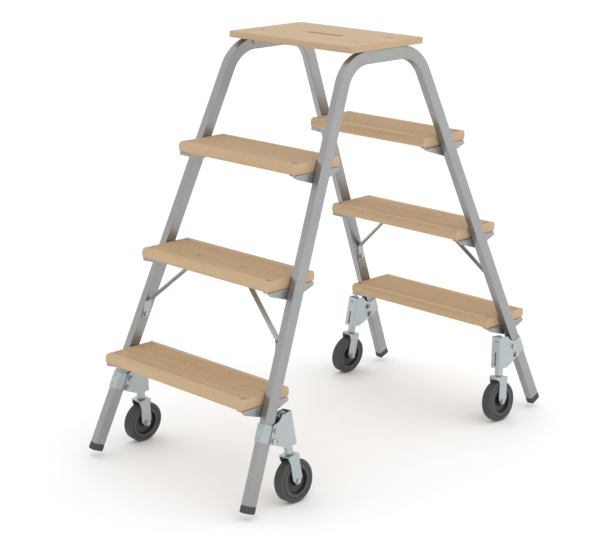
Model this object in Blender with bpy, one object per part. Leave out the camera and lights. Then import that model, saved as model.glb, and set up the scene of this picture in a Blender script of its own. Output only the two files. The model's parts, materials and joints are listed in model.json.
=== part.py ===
"""Rolling warehouse ladder: a double-sided platform step ladder on spring-loaded castors.

Z is up and the floor is z = 0 under the wheels. X runs along the treads, Y from front to rear.
The origin is on the floor under the middle of the platform.
"""

import math

import bmesh
import bpy
from mathutils import Matrix, Vector

# Driving dimensions, in metres and degrees.
GAP = 0.0003                 # clearance between pieces that touch
RISE = 0.240                 # from one tread to the next, and to the platform
SPLAY = math.radians(5.0)    # lean of each side frame, outwards at the bottom
LEG_ANGLE = math.radians(22.69)   # slope of a leg inside the plane of its side frame

TUBE_WIDE = 0.030            # tube section in the plane of the side frame
TUBE_THICK = 0.020           # tube section across the side frame
TUBE_WALL = 0.0018
TUBE_CORNER = 0.0025
TUBE_OFFSET = 0.1776         # middle plane of a side frame from the platform's centre
TOP_RUN_DEPTH = 0.0464       # centre line of the top run below the platform's top
BEND_RADIUS = 0.085          # centre line of the two bends
LEG_START_Y = 0.10063        # a point on the leg's centre line, where "along" is zero
LEG_START_DEPTH = 0.01469
LEG_END = 1.033              # end of the tube, along the leg
SHOE_HEIGHT = 0.0177

PLATFORM_SIZE = (0.396, 0.240, 0.0150)
PLATFORM_CORNER = 0.0035
PLATFORM_SCREWS = (0.1523, 0.0551)
GRIP_SLOT = (0.116, 0.020)

TREAD_DEPTH = 0.148
TREAD_THICK = 0.0243
TREAD_TOP_RADIUS = 0.009
TREAD_BOTTOM_RADIUS = 0.008
TREAD_CENTRES = (0.2172, 0.3179, 0.4185)
TREAD_HALF_LENGTHS = (0.1862, 0.2071, 0.2281)
TREAD_SCREW_INSET = 0.0110
TREAD_SCREW_Y = 0.0553
STRUT_SCREW_X = 0.0695
STRUT_SCREW_Y = 0.0209       # further out than the middle tread's centre

BRACKET_HALF_LENGTH = 0.068
BRACKET_SHEET = 0.0025
BRACKET_FLANGE = 0.0230
GUSSET_DEPTH = 0.0300
GUSSET_END_DEPTH = 0.0075
WELD = 0.0004                # overlap where a bracket is welded to its tube

# Radii of drilled holes, and how far a drill runs past the material.
BOARD_HOLE = 0.0026
BRACKET_HOLE = 0.0027
STRUT_BOLT_HOLE = 0.0033
RIVET_HOLE = 0.0023
DRILL_MARGIN = 0.005
RIVET_ABOVE_SHOE = 0.0105

STRUT_TAB_WIDTH = 0.019
STRUT_SHEET = 0.002
STRUT_FOLD = math.radians(45)  # each half of the strip is bent down by this
STRUT_RIDGE = 0.0044         # how far the ridge stands above the flat strip
STRUT_FIRST_BEND = 0.0212    # from the screw to the upper bend
STRUT_BEND_Y = 0.366
STRUT_BEND_DEPTH = 0.634
STRUT_BOLT_Y = 0.3728
STRUT_BOLT_DEPTH = 0.664

WHEEL_RADIUS = 0.0496
WHEEL_HALF_WIDTH = 0.0132
WHEEL_SHOULDER = 0.0048
RIM_RADIUS = 0.0365
AXLE_Y = 0.3613
AXLE_DEPTH = 0.9477
STEM_LEAN = math.radians(7.0)     # the stem leans outwards, going up
STEM_RADIUS = 0.010
ROD_RADIUS = 0.004

FORK_HALF = 0.01575
FORK_SHEET = 0.002
FORK_TOP = 0.0625
HOUSING_HALF = 0.014
HOUSING_SHEET = 0.002
HOUSING_LOW = 0.0839
HOUSING_HIGH = 0.1627
HOUSING_WEB = -0.0163
GUIDE_TOP = 0.0885           # the guide plate fills the housing's lower end
PLUG = (0.1450, 0.1560)      # the plug that the spring pushes against
WEB_SLOT = (0.0895, 0.1238)
WEB_HOLE = 0.1507
CLAMP_LOW = 0.8945           # clamp band, along the leg
CLAMP_HIGH = 0.8545
CLAMP_SHEET = 0.0014
CLAMP_BOLTS = (0.8626, 0.8861)
CLAMP_BOLT_OUT = -0.0194     # behind the leg's centre line
BOLT_RADIUS = 0.004
NUT_RADIUS = 0.0070          # to the corners of a nut or a bolt head

ROUND = 8                    # sides of a small round piece
WHEEL_SIDES = 24

# Height of the platform's top, with the wheels' lowest edge on the floor.
AXLE_DROP = AXLE_DEPTH * math.cos(SPLAY) - TUBE_OFFSET * math.sin(SPLAY)
WHEEL_DROP = (WHEEL_RADIUS * math.cos(SPLAY)
              + (WHEEL_HALF_WIDTH - WHEEL_SHOULDER) * math.sin(SPLAY))
TOP_Z = AXLE_DROP + WHEEL_DROP

SIDES = {"right": 1, "left": -1}
ENDS = {"front": -1, "rear": 1}

COLOURS = {
    "aluminium": ((0.62, 0.63, 0.64), 0.30, 1.0),
    "zinc": ((0.72, 0.76, 0.77), 0.28, 1.0),
    "platform_wood": ((0.64, 0.47, 0.31), 0.55, 0.0),
    "tread_wood": ((0.48, 0.31, 0.16), 0.60, 0.0),
    "rubber": ((0.08, 0.08, 0.08), 0.75, 0.0),
    "tyre": ((0.045, 0.047, 0.05), 0.60, 0.0),
    "wheel_plastic": ((0.02, 0.02, 0.022), 0.45, 0.0),
    "screw_steel": ((0.75, 0.73, 0.70), 0.25, 1.0),
}


# ---------------------------------------------------------------- helpers

def clear_scene():
    for obj in list(bpy.data.objects):
        bpy.data.objects.remove(obj, do_unlink=True)


def material(name):
    """One Principled material for each object, from the named finish."""
    colour, roughness, metallic = COLOURS[name]
    mat = bpy.data.materials.new(name)
    mat.use_nodes = True
    shader = mat.node_tree.nodes["Principled BSDF"]
    shader.inputs["Base Color"].default_value = (*colour, 1.0)
    shader.inputs["Roughness"].default_value = roughness
    shader.inputs["Metallic"].default_value = metallic
    return mat


def make_object(name, bm, finish=None, place=None):
    """Turn a bmesh into a named object, with its faces pointing out."""
    bmesh.ops.recalc_face_normals(bm, faces=bm.faces)
    mesh = bpy.data.meshes.new(name)
    bm.to_mesh(mesh)
    bm.free()
    mesh.shade_smooth()
    mesh.set_sharp_from_angle(angle=math.radians(35))
    obj = bpy.data.objects.new(name, mesh)
    if place is not None:
        obj.matrix_world = place
    if finish is not None:
        mesh.materials.append(material(finish))
    bpy.context.scene.collection.objects.link(obj)
    return obj


def loft(bm, sections, close=False):
    """Skin equal rings of points one after another; close joins the last to the first."""
    rings = [[bm.verts.new(point) for point in section] for section in sections]
    pairs = list(zip(rings, rings[1:]))
    if close:
        pairs.append((rings[-1], rings[0]))
    else:
        bm.faces.new(rings[0])
        bm.faces.new(list(reversed(rings[-1])))
    skin(bm, pairs)


def skin(bm, pairs):
    """Quads between each pair of equal rings."""
    for low, high in pairs:
        for i in range(len(low)):
            j = (i + 1) % len(low)
            bm.faces.new((low[i], low[j], high[j], high[i]))


def circle(radius, sides, centre=(0.0, 0.0)):
    """Points of a circle in two dimensions."""
    turn = [2 * math.pi * i / sides for i in range(sides)]
    return [(centre[0] + radius * math.cos(t), centre[1] + radius * math.sin(t)) for t in turn]


def arc(centre, radius, first, last, steps):
    """Points of an arc from angle first to angle last, in degrees."""
    turn = [math.radians(first + (last - first) * i / steps) for i in range(steps + 1)]
    return [(centre[0] + radius * math.cos(t), centre[1] + radius * math.sin(t)) for t in turn]


def round_rect(width, height, radius, steps=3):
    """Outline of a rectangle with round corners, centred on the origin."""
    x = width / 2 - radius
    y = height / 2 - radius
    corners = ((x, y, 0), (-x, y, 90), (-x, -y, 180), (x, -y, 270))
    points = []
    for cx, cy, first in corners:
        points += arc((cx, cy), radius, first, first + 90, steps)
    return points


def turned(bm, profile, sides, to_point):
    """Revolve a closed profile of (radius, height) points; to_point maps x, y, height."""
    rings = []
    for i in range(sides):
        t = 2 * math.pi * i / sides
        rings.append([to_point(r * math.cos(t), r * math.sin(t), h) for r, h in profile])
    loft(bm, rings, close=True)


def turned_solid(bm, profile, sides, to_point):
    """Revolve an open profile that starts and ends as a flat disc."""
    rings = []
    for r, h in profile:
        rings.append([to_point(x, y, h) for x, y in circle(r, sides)])
    loft(bm, rings)


def combine(target, bm, operation, place=None):
    """Subtract or weld a hidden guide, which may hold several bodies."""
    guide = make_object(target.name + "_guide", bm, place=place)
    guide.hide_render = True
    guide.display_type = "WIRE"
    boolean = target.modifiers.new(operation.lower(), "BOOLEAN")
    boolean.operation = operation
    boolean.object = guide


# ------------------------------------------------------------ positions

def frame_point(side, out, y, depth):
    """A point by its distance from the middle plane of the platform, square to the side
    frame's plane, and by its depth below the platform's top along that plane."""
    x = out * math.cos(SPLAY) + depth * math.sin(SPLAY)
    z = TOP_Z + out * math.sin(SPLAY) - depth * math.cos(SPLAY)
    return Vector((side * x, y, z))


def leg_point(side, end, along, across, out):
    """A point by its place along a leg, outwards across it in the frame's plane, and out."""
    y = LEG_START_Y + along * math.sin(LEG_ANGLE) + across * math.cos(LEG_ANGLE)
    depth = LEG_START_DEPTH + along * math.cos(LEG_ANGLE) - across * math.sin(LEG_ANGLE)
    return frame_point(side, out, end * y, depth)


def inner_face_x(z):
    """Distance of a side frame's inner face from the middle, at a height above the floor."""
    out = TUBE_OFFSET - TUBE_THICK / 2
    return (out - (z - TOP_Z) * math.sin(SPLAY)) / math.cos(SPLAY)


def castor_place(side, end, lean):
    """Matrix of a castor: origin at the wheel's centre, X towards the ladder's end, Z up the
    stem, Y along the axle."""
    tilt = Vector((side * math.cos(SPLAY), 0, math.sin(SPLAY)))
    down = Vector((side * math.sin(SPLAY), 0, -math.cos(SPLAY)))
    outward = Vector((0, end, 0))
    up = outward * math.sin(lean) - down * math.cos(lean)
    away = outward * math.cos(lean) + down * math.sin(lean)
    axle = up.cross(away)
    centre = frame_point(side, TUBE_OFFSET, end * AXLE_Y, AXLE_DEPTH)
    place = Matrix((away, axle, up)).transposed().to_4x4()
    place.translation = centre
    outer = 1 if axle.dot(tilt) > 0 else -1
    return place, outer


def castor_from_leg(along, across):
    """Castor coordinates (x, z) of a point given along and across the leg."""
    axle_y = AXLE_Y - LEG_START_Y
    axle_depth = AXLE_DEPTH - LEG_START_DEPTH
    axle_along = axle_y * math.sin(LEG_ANGLE) + axle_depth * math.cos(LEG_ANGLE)
    axle_across = axle_y * math.cos(LEG_ANGLE) - axle_depth * math.sin(LEG_ANGLE)
    turn = LEG_ANGLE + STEM_LEAN
    step_along = along - axle_along
    step_across = across - axle_across
    x = math.sin(turn) * step_along + math.cos(turn) * step_across
    z = -math.cos(turn) * step_along + math.sin(turn) * step_across
    return x, z


# ---------------------------------------------------------- side frames

def tube_path():
    """Stations of the centre line: (y, depth, direction of the cross axis in that plane)."""
    corner_along = (TOP_RUN_DEPTH - LEG_START_DEPTH) / math.cos(LEG_ANGLE)
    corner_y = LEG_START_Y + corner_along * math.sin(LEG_ANGLE)
    turn = math.pi / 2 - LEG_ANGLE
    tangent = BEND_RADIUS * math.tan(turn / 2)
    straight = corner_y - tangent
    half = []
    steps = 7
    for i in range(steps + 1):
        t = turn * i / steps
        y = straight + BEND_RADIUS * math.sin(t)
        depth = TOP_RUN_DEPTH + BEND_RADIUS * (1 - math.cos(t))
        half.append((y, depth, (math.sin(t), -math.cos(t))))
    end_y = LEG_START_Y + LEG_END * math.sin(LEG_ANGLE)
    end_depth = LEG_START_DEPTH + LEG_END * math.cos(LEG_ANGLE)
    half.append((end_y, end_depth, (math.cos(LEG_ANGLE), -math.sin(LEG_ANGLE))))
    mirrored = [(-y, depth, (-cy, cd)) for y, depth, (cy, cd) in reversed(half)]
    return mirrored + half


def side_frame(side_name, side):
    """One aluminium tube, bent twice, with its angle brackets welded to the inner face."""
    outer = round_rect(TUBE_THICK, TUBE_WIDE, TUBE_CORNER, steps=1)
    wall = 2 * TUBE_WALL
    inner = round_rect(TUBE_THICK - wall, TUBE_WIDE - wall, TUBE_CORNER / 2, steps=1)
    bm = bmesh.new()
    skins = []
    for outline in (outer, inner):
        rings = []
        for y, depth, (cross_y, cross_d) in tube_path():
            ring = []
            for u, v in outline:
                point = frame_point(side, TUBE_OFFSET + u, y + v * cross_y, depth + v * cross_d)
                ring.append(bm.verts.new(point))
            rings.append(ring)
        skin(bm, list(zip(rings, rings[1:])))
        skins.append(rings)
    skin(bm, [(skins[0][station], skins[1][station]) for station in (0, -1)])
    frame = make_object("side_frame_" + side_name, bm, "aluminium")
    combine(frame, angle_brackets(side), "UNION")
    combine(frame, frame_holes(side), "DIFFERENCE")


def frame_holes(side):
    """Holes for the screws, the strut bolts and the shoe rivets of one side frame."""
    cutters = bmesh.new()
    low = TUBE_OFFSET - TUBE_THICK / 2 - 0.004
    high = low + 0.008
    for end in ENDS.values():
        hole_rod(cutters, side, end * STRUT_BOLT_Y, STRUT_BOLT_DEPTH, STRUT_BOLT_HOLE, low, high)
        along = LEG_END - RIVET_ABOVE_SHOE
        y = LEG_START_Y + along * math.sin(LEG_ANGLE)
        depth = LEG_START_DEPTH + along * math.cos(LEG_ANGLE)
        hole_rod(cutters, side, end * y, depth, RIVET_HOLE, low, high)
        for _number, top, centre, half_length in tread_levels():
            places = tread_end_screws(end, centre, half_length)
            bracket_holes(cutters, same_side(places, side), top - TREAD_THICK - GAP)
    places = same_side(platform_screw_places(), side)
    bracket_holes(cutters, places, TOP_Z - PLATFORM_SIZE[2] - GAP)
    return cutters


def bracket_holes(bm, places, under):
    vertical_holes(bm, places, BRACKET_HOLE, under - DRILL_MARGIN, under + DRILL_MARGIN)


def same_side(places, side):
    return [place for place in places if place[0] * side > 0]


def hole_rod(bm, side, y, depth, radius, low, high):
    """A rod square to a side frame's plane, used as a cutter or as a shank."""
    rings = []
    for out in (low, high):
        points = circle(radius, 6, (y, depth))
        rings.append([frame_point(side, out, cy, cd) for cy, cd in points])
    loft(bm, rings)


def rubber_shoe(name, side, end):
    """Shoe flush with the tube's end, with a plug that goes up inside the tube."""
    inside = TUBE_WALL + GAP
    plug = (TUBE_THICK - 2 * inside, TUBE_WIDE - 2 * inside)
    sections = (
        (LEG_END - 0.006, plug),
        (LEG_END + GAP, plug),
        (LEG_END + GAP, (TUBE_THICK, TUBE_WIDE)),
        (LEG_END + SHOE_HEIGHT - 0.002, (TUBE_THICK, TUBE_WIDE)),
        (LEG_END + SHOE_HEIGHT, (TUBE_THICK - 0.003, TUBE_WIDE - 0.003)),
    )
    bm = bmesh.new()
    rings = []
    for along, (thick, wide) in sections:
        outline = round_rect(thick, wide, TUBE_CORNER * 0.6, steps=2)
        rings.append([leg_point(side, end, along, v, TUBE_OFFSET + u) for u, v in outline])
    loft(bm, rings)
    make_object(name, bm, "rubber")


# ---------------------------------------------------------- wooden boards

def vertical_holes(bm, places, radius, low, high):
    """Upright rods that drill boards and brackets."""
    for x, y in places:
        rings = []
        for z in (low, high):
            rings.append([Vector((cx, cy, z)) for cx, cy in circle(radius, 6, (x, y))])
        loft(bm, rings)


def platform_screw_places():
    x, y = PLATFORM_SCREWS
    return [(sx * x, sy * y) for sx in (1, -1) for sy in (1, -1)]


def platform_board():
    """Board with eased edges, a grip slot and holes for its four screws."""
    length, depth, thick = PLATFORM_SIZE
    ease = 0.0015
    low = TOP_Z - thick
    levels = ((low, ease), (low + ease, 0.0), (TOP_Z - ease, 0.0), (TOP_Z, ease))
    bm = bmesh.new()
    rings = []
    for z, inset in levels:
        outline = round_rect(length - 2 * inset, depth - 2 * inset, PLATFORM_CORNER)
        rings.append([Vector((x, y, z)) for x, y in outline])
    loft(bm, rings)
    board = make_object("platform_board", bm, "platform_wood")
    cutters = bmesh.new()
    slot_length, slot_width = GRIP_SLOT
    outline = round_rect(slot_length, slot_width, slot_width / 2 - 0.0001, steps=6)
    rings = []
    for z in (low - DRILL_MARGIN, TOP_Z + DRILL_MARGIN):
        rings.append([Vector((x, y, z)) for x, y in outline])
    loft(cutters, rings)
    places = platform_screw_places()
    vertical_holes(cutters, places, BOARD_HOLE, low - DRILL_MARGIN, TOP_Z + DRILL_MARGIN)
    combine(board, cutters, "DIFFERENCE")


def tread_levels():
    """Number, top height, centre and half length of each tread, from the highest down."""
    rows = zip(TREAD_CENTRES, TREAD_HALF_LENGTHS)
    return [(i + 1, TOP_Z - RISE * (i + 1), y, x) for i, (y, x) in enumerate(rows)]


def tread_end_screws(end, centre, half_length):
    """Places of the four screws that hold a tread's ends."""
    x = half_length - TREAD_SCREW_INSET
    return [(sx * x, end * centre + sy * TREAD_SCREW_Y) for sx in (1, -1) for sy in (1, -1)]


def strut_screws(end):
    """Places of the two extra screws in a middle tread."""
    y = end * (TREAD_CENTRES[1] + STRUT_SCREW_Y)
    return [(STRUT_SCREW_X, y), (-STRUT_SCREW_X, y)]


def tread(name, end, number, top, centre, half_length):
    """Board with rounded long edges, drilled for its screws."""
    half = TREAD_DEPTH / 2
    up = TREAD_TOP_RADIUS
    low = TREAD_BOTTOM_RADIUS
    outline = arc((half - up, -up), up, 90, 0, 3)
    outline += arc((half - low, low - TREAD_THICK), low, 0, -90, 2)
    outline += arc((low - half, low - TREAD_THICK), low, 270, 180, 2)
    outline += arc((up - half, -up), up, 180, 90, 3)
    rings = []
    for x in (-half_length, half_length):
        rings.append([Vector((x, end * centre + y, top + z)) for y, z in outline])
    bm = bmesh.new()
    loft(bm, rings)
    board = make_object(name, bm, "tread_wood")
    places = tread_end_screws(end, centre, half_length)
    if number == 2:
        places += strut_screws(end)
    cutters = bmesh.new()
    low_end = top - TREAD_THICK - DRILL_MARGIN
    vertical_holes(cutters, places, BOARD_HOLE, low_end, top + DRILL_MARGIN)
    combine(board, cutters, "DIFFERENCE")


# ------------------------------------------------- brackets and struts

def angle_section(side, y, under, depth):
    """Section of an angle bracket: a flat flange on top, and a leg against the side frame."""
    sheet = BRACKET_SHEET
    lean = math.tan(SPLAY)
    back = inner_face_x(under) + WELD
    bend = 0.002
    points = (
        (back - BRACKET_FLANGE, under),
        (back - bend, under),
        (back + bend * lean, under - bend),
        (back + depth * lean, under - depth),
        (back + depth * lean - sheet, under - depth),
        (back + sheet * lean - sheet, under - sheet),
        (back - BRACKET_FLANGE, under - sheet),
    )
    return [Vector((side * x, y, z)) for x, z in points]


def angle_bracket(bm, side, centre, under, depths):
    """Bracket along Y whose upright leg has the given depths at the given places."""
    loft(bm, [angle_section(side, centre + y, under, depth) for y, depth in depths])


def gusset_depths():
    """Depth of a tread bracket's upright leg: a shallow V with rounded ends."""
    half = BRACKET_HALF_LENGTH
    flat = 0.006
    one_side = (
        (flat, GUSSET_DEPTH),
        (half - 0.004, GUSSET_END_DEPTH),
        (half, GUSSET_END_DEPTH - 0.0035),
    )
    return [(-y, depth) for y, depth in reversed(one_side)] + list(one_side)


def angle_brackets(side):
    """The six tread brackets and the platform bracket of one side frame."""
    bm = bmesh.new()
    for end in ENDS.values():
        for _number, top, centre, _half_length in tread_levels():
            under = top - TREAD_THICK - GAP
            angle_bracket(bm, side, end * centre, under, gusset_depths())
    half = BRACKET_HALF_LENGTH
    under = TOP_Z - PLATFORM_SIZE[2] - GAP
    angle_bracket(bm, side, 0.0, under, ((-half, 0.018), (half, 0.018)))
    return bm


def fold_line(face_a, face_b, across):
    """Direction of the fold between two flats, long enough to keep the strip's width."""
    fold = face_a.cross(face_b).normalized()
    return fold / fold.dot(across)


def mitre(face_a, face_b):
    """Direction through a fold's thickness that keeps the sheet's thickness on both flats."""
    return (face_a + face_b).normalized() / math.cos(face_a.angle(face_b) / 2)


def strut_stations(side, end):
    """Stations of a strut: a point on its upper surface, the directions of its width and of
    its face, and how far the strip is folded along its middle there, from 0 to 1."""
    under = TOP_Z - 2 * RISE - TREAD_THICK - GAP
    inner = TUBE_OFFSET - TUBE_THICK / 2 - GAP
    tab_y = end * (TREAD_CENTRES[1] + STRUT_SCREW_Y)
    start = Vector((side * (STRUT_SCREW_X - 0.012), tab_y, under))
    bend = Vector((side * (STRUT_SCREW_X + STRUT_FIRST_BEND), tab_y, under))
    low = frame_point(side, inner, end * STRUT_BEND_Y, STRUT_BEND_DEPTH)
    bolt = frame_point(side, inner, end * STRUT_BOLT_Y, STRUT_BOLT_DEPTH)
    tab = (bolt - low).normalized()
    finish = bolt + tab * 0.0075
    run = (low - bend).normalized()
    inner_normal = Vector((side * math.cos(SPLAY), 0, math.sin(SPLAY)))
    upright = Vector((0, 0, 1))
    across = Vector((0, 1, 0))
    run_across = (across - run * across.dot(run)).normalized()
    run_face = run_across.cross(run)
    if run_face.z < 0:
        run_face = -run_face
    tab_across = inner_normal.cross(tab).normalized()
    if tab_across.y < 0:
        tab_across = -tab_across
    high_fold = fold_line(upright, run_face, run_across)
    low_fold = fold_line(run_face, inner_normal, run_across)
    high_face = mitre(upright, run_face)
    low_face = mitre(run_face, inner_normal)
    high_flat = 0.003
    low_flat = 0.004
    fold_length = 0.004
    high_end = bend + run * high_flat
    low_end = low - run * low_flat
    return (
        (start, across, upright, 0.0),
        (bend, high_fold, high_face, 0.0),
        (high_end, run_across, run_face, 0.0),
        (high_end + run * fold_length, run_across, run_face, 1.0),
        (low_end - run * fold_length, run_across, run_face, 1.0),
        (low_end, run_across, run_face, 0.0),
        (low, low_fold, low_face, 0.0),
        (finish, tab_across, inner_normal, 0.0),
    )


def strut_section(fold):
    """Section of the strip: flat where fold is 0, and a right angle with its ridge up where
    it is 1."""
    half = STRUT_TAB_WIDTH / 2
    turn = STRUT_FOLD * fold
    ridge = STRUT_RIDGE * fold
    out = half * math.cos(turn)
    down = ridge - half * math.sin(turn)
    low_out = out - STRUT_SHEET * math.sin(turn)
    low_down = down - STRUT_SHEET * math.cos(turn)
    low_ridge = ridge - STRUT_SHEET / math.cos(turn)
    return (
        (-out, down), (-low_out, low_down), (0.0, low_ridge),
        (low_out, low_down), (out, down), (0.0, ridge),
    )


def strut(name, side, end):
    """Zinc strip from the middle tread to the leg, folded to an angle between its flat ends."""
    bm = bmesh.new()
    rings = []
    for point, across, face, fold in strut_stations(side, end):
        section = strut_section(fold)
        rings.append([point + across * u * side + face * v for u, v in section])
    loft(bm, rings)
    piece = make_object(name, bm, "zinc")
    holes = bmesh.new()
    bracket_holes(holes, same_side(strut_screws(end), side), TOP_Z - 2 * RISE - TREAD_THICK)
    inner = TUBE_OFFSET - TUBE_THICK / 2
    low_end = inner - DRILL_MARGIN
    hole_rod(holes, side, end * STRUT_BOLT_Y, STRUT_BOLT_DEPTH, STRUT_BOLT_HOLE, low_end, inner)
    combine(piece, holes, "DIFFERENCE")


# -------------------------------------------------------------- castors

def prism(bm, outline, low, high):
    """Extrude an outline of castor coordinates (x, z) along the axle from low to high."""
    rings = [[Vector((x, y, z)) for x, z in outline] for y in (low, high)]
    loft(bm, rings)


def across_rod(bm, x, z, radius, low, high, sides=ROUND):
    """A rod along the axle's direction at castor coordinates (x, z)."""
    prism(bm, circle(radius, sides, (x, z)), low, high)


def housing_outline():
    """Side view of the spring housing, in castor coordinates."""
    low_x = castor_from_leg(CLAMP_LOW, -0.009)
    high_x = castor_from_leg(0.851, -0.009)
    start = Vector((0.0139, HOUSING_HIGH))
    stop = Vector(high_x)
    chord = stop - start
    sag = Vector((-chord.y, chord.x)).normalized() * -0.0045
    notch = []
    steps = 4
    for i in range(steps + 1):
        t = i / steps
        notch.append(tuple(stop.lerp(start, t) + sag * 4 * t * (1 - t)))
    return [(HOUSING_WEB, HOUSING_LOW), (0.0128, HOUSING_LOW), low_x] + notch + [
        (HOUSING_WEB, HOUSING_HIGH)]


def spring_housing(name, place):
    """U channel: a web with a hole and a slot, and two side plates that reach the leg."""
    bm = bmesh.new()
    prism(bm, housing_outline(), -HOUSING_HALF, HOUSING_HALF)
    bm.edges.ensure_lookup_table()
    corners = []
    for edge in bm.edges:
        at_web = all(abs(v.co.x - HOUSING_WEB) < 1e-5 for v in edge.verts)
        upright = abs(edge.verts[0].co.y - edge.verts[1].co.y) < 1e-5
        if at_web and upright:
            corners.append(edge)
    bmesh.ops.bevel(bm, geom=corners, offset=0.0022, segments=2, affect="EDGES", profile=0.5)
    housing = make_object(name, bm, "zinc", place)
    inside = HOUSING_HALF - HOUSING_SHEET
    room = bmesh.new()
    prism(room, housing_room(), -inside, inside)
    combine(housing, room, "DIFFERENCE", place)
    holes = bmesh.new()
    web = HOUSING_WEB + HOUSING_SHEET
    slot_low, slot_high = WEB_SLOT
    middle = (slot_low + slot_high) / 2
    slot = round_rect(0.005, slot_high - slot_low, 0.00249, steps=2)
    round_hole = circle(0.0024, ROUND, (0.0, WEB_HOLE))
    for outline in (round_hole, [(y, middle + z) for y, z in slot]):
        rings = []
        for x in (web - 0.005, web + 0.002):
            rings.append([Vector((x, y, z)) for y, z in outline])
        loft(holes, rings)
    stem_bore = ((STEM_RADIUS + GAP, HOUSING_LOW - 0.002), (STEM_RADIUS + GAP, GUIDE_TOP + 0.002))
    rod_bore = ((ROD_RADIUS + GAP, PLUG[0] - 0.002), (ROD_RADIUS + GAP, PLUG[1] + 0.002))
    for bore in (stem_bore, rod_bore):
        turned_solid(holes, bore, 12, lambda x, y, z: Vector((x, y, z)))
    bolt_x, bolt_z = castor_from_leg(CLAMP_BOLTS[0], CLAMP_BOLT_OUT)
    across_rod(holes, bolt_x, bolt_z, BOLT_RADIUS + GAP, -0.03, 0.03)
    prism(holes, arc_slot(), -0.03, 0.03)
    combine(housing, holes, "DIFFERENCE", place)


def housing_room():
    """Side view of the space cut out of the housing, round its guide plate and its plug."""
    web = HOUSING_WEB + HOUSING_SHEET
    front = 0.0122
    far = 0.09
    plug_low, plug_high = PLUG
    return ((web, GUIDE_TOP), (front, GUIDE_TOP), (front, 0.05), (far, 0.05), (far, 0.20),
            (web, 0.20), (web, plug_high), (front, plug_high), (front, plug_low), (web, plug_low))


def arc_slot():
    """Slot for the lower clamp bolt, curved round the upper one, in castor coordinates."""
    pivot = Vector(castor_from_leg(CLAMP_BOLTS[0], CLAMP_BOLT_OUT))
    lower = Vector(castor_from_leg(CLAMP_BOLTS[1], CLAMP_BOLT_OUT))
    arm = lower - pivot
    radius = BOLT_RADIUS + 2 * GAP
    first = math.degrees(math.atan2(arm.y, arm.x))
    sweep = -math.degrees(0.0070 / arm.length)
    outside = arc(pivot, arm.length + radius, first, first + sweep, 3)
    inside = arc(pivot, arm.length - radius, first + sweep, first, 3)
    last = pivot + Vector((math.cos(math.radians(first + sweep)),
                           math.sin(math.radians(first + sweep)))) * arm.length
    cap_far = arc(last, radius, first + sweep, first + sweep - 180, 4)[1:-1]
    cap_near = arc(lower, radius, first + 180, first, 4)[1:-1]
    return outside + cap_far + inside + cap_near


def clamp_band(name, side, end, place):
    """Saddle round the leg's outward face and both sides, with two bolt holes."""
    across_in = TUBE_WIDE / 2 + GAP
    across_out = across_in + CLAMP_SHEET + 0.0004
    half_in = TUBE_THICK / 2 + GAP
    half_out = half_in + CLAMP_SHEET
    ear = -0.0280
    bend = 0.0015
    outline = (
        (ear, -half_out), (across_out - bend, -half_out), (across_out, -half_out + bend),
        (across_out, half_out - bend), (across_out - bend, half_out), (ear, half_out),
        (ear, half_in), (across_in, half_in), (across_in, -half_in), (ear, -half_in),
    )
    bm = bmesh.new()
    rings = []
    for along in (CLAMP_HIGH, CLAMP_LOW - GAP):
        ring = []
        for across, out in outline:
            ring.append(leg_point(side, end, along, across, TUBE_OFFSET + out))
        rings.append(ring)
    loft(bm, rings)
    band = make_object(name, bm, "zinc")
    holes = bmesh.new()
    for along in CLAMP_BOLTS:
        x, z = castor_from_leg(along, CLAMP_BOLT_OUT)
        across_rod(holes, x, z, BOLT_RADIUS + GAP, -0.03, 0.03)
    combine(band, holes, "DIFFERENCE", place)


def castor_stem(name, place):
    """Stepped plunger, with its retaining nut screwed on above the plug."""
    shoulder = GUIDE_TOP + 2 * GAP
    nut_low = PLUG[1] + GAP
    nut_high = nut_low + 0.0065
    tip = nut_high + 0.0020
    profile = (
        (STEM_RADIUS, FORK_TOP + GAP), (STEM_RADIUS, shoulder), (ROD_RADIUS, shoulder),
        (ROD_RADIUS, nut_low), (NUT_RADIUS, nut_low), (NUT_RADIUS, nut_high),
        (ROD_RADIUS, nut_high), (ROD_RADIUS, tip - 0.001), (ROD_RADIUS - 0.001, tip),
    )
    bm = bmesh.new()
    loft(bm, [[Vector((x, y, z)) for x, y in nut_or_round(r)] for r, z in profile])
    make_object(name, bm, "zinc", place)


def nut_or_round(radius):
    """Twelve points: a hexagon at the nut's radius, or a circle at any other."""
    points = circle(radius, 12)
    if radius == NUT_RADIUS:
        flat = math.cos(math.pi / 6)
        points = [(x * (flat if i % 2 else 1), y * (flat if i % 2 else 1))
                  for i, (x, y) in enumerate(points)]
    return points


def coil_spring(name, place):
    """Coil spring round the rod, between the stem's shoulder and the top plug."""
    bm = bmesh.new()
    wire = 0.0009
    coil = 0.0082
    low = GUIDE_TOP + 3 * GAP + wire
    high = PLUG[0] - GAP - wire
    turns = 7
    steps = 7
    sides = 4
    rings = []
    for i in range(turns * steps + 1):
        t = i / steps
        angle = 2 * math.pi * t
        z = low + (high - low) * t / turns
        centre = Vector((coil * math.cos(angle), coil * math.sin(angle), z))
        radial = Vector((math.cos(angle), math.sin(angle), 0))
        ring = []
        for u, v in circle(wire, sides):
            ring.append(centre + radial * u + Vector((0, 0, v)))
        rings.append(ring)
    loft(bm, rings)
    make_object(name, bm, "zinc", place)


def fork_outline():
    """Side view of the fork: round at the axle, wide in the middle, narrow at the top."""
    low = arc((0.0, 0.0), 0.0098, 200, 340, 5)
    right = [(0.0150, 0.0100), (0.0150, 0.0480), (0.0107, 0.0570), (0.0107, FORK_TOP)]
    left = [(-x, z) for x, z in reversed(right)]
    return low + right + left


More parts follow.
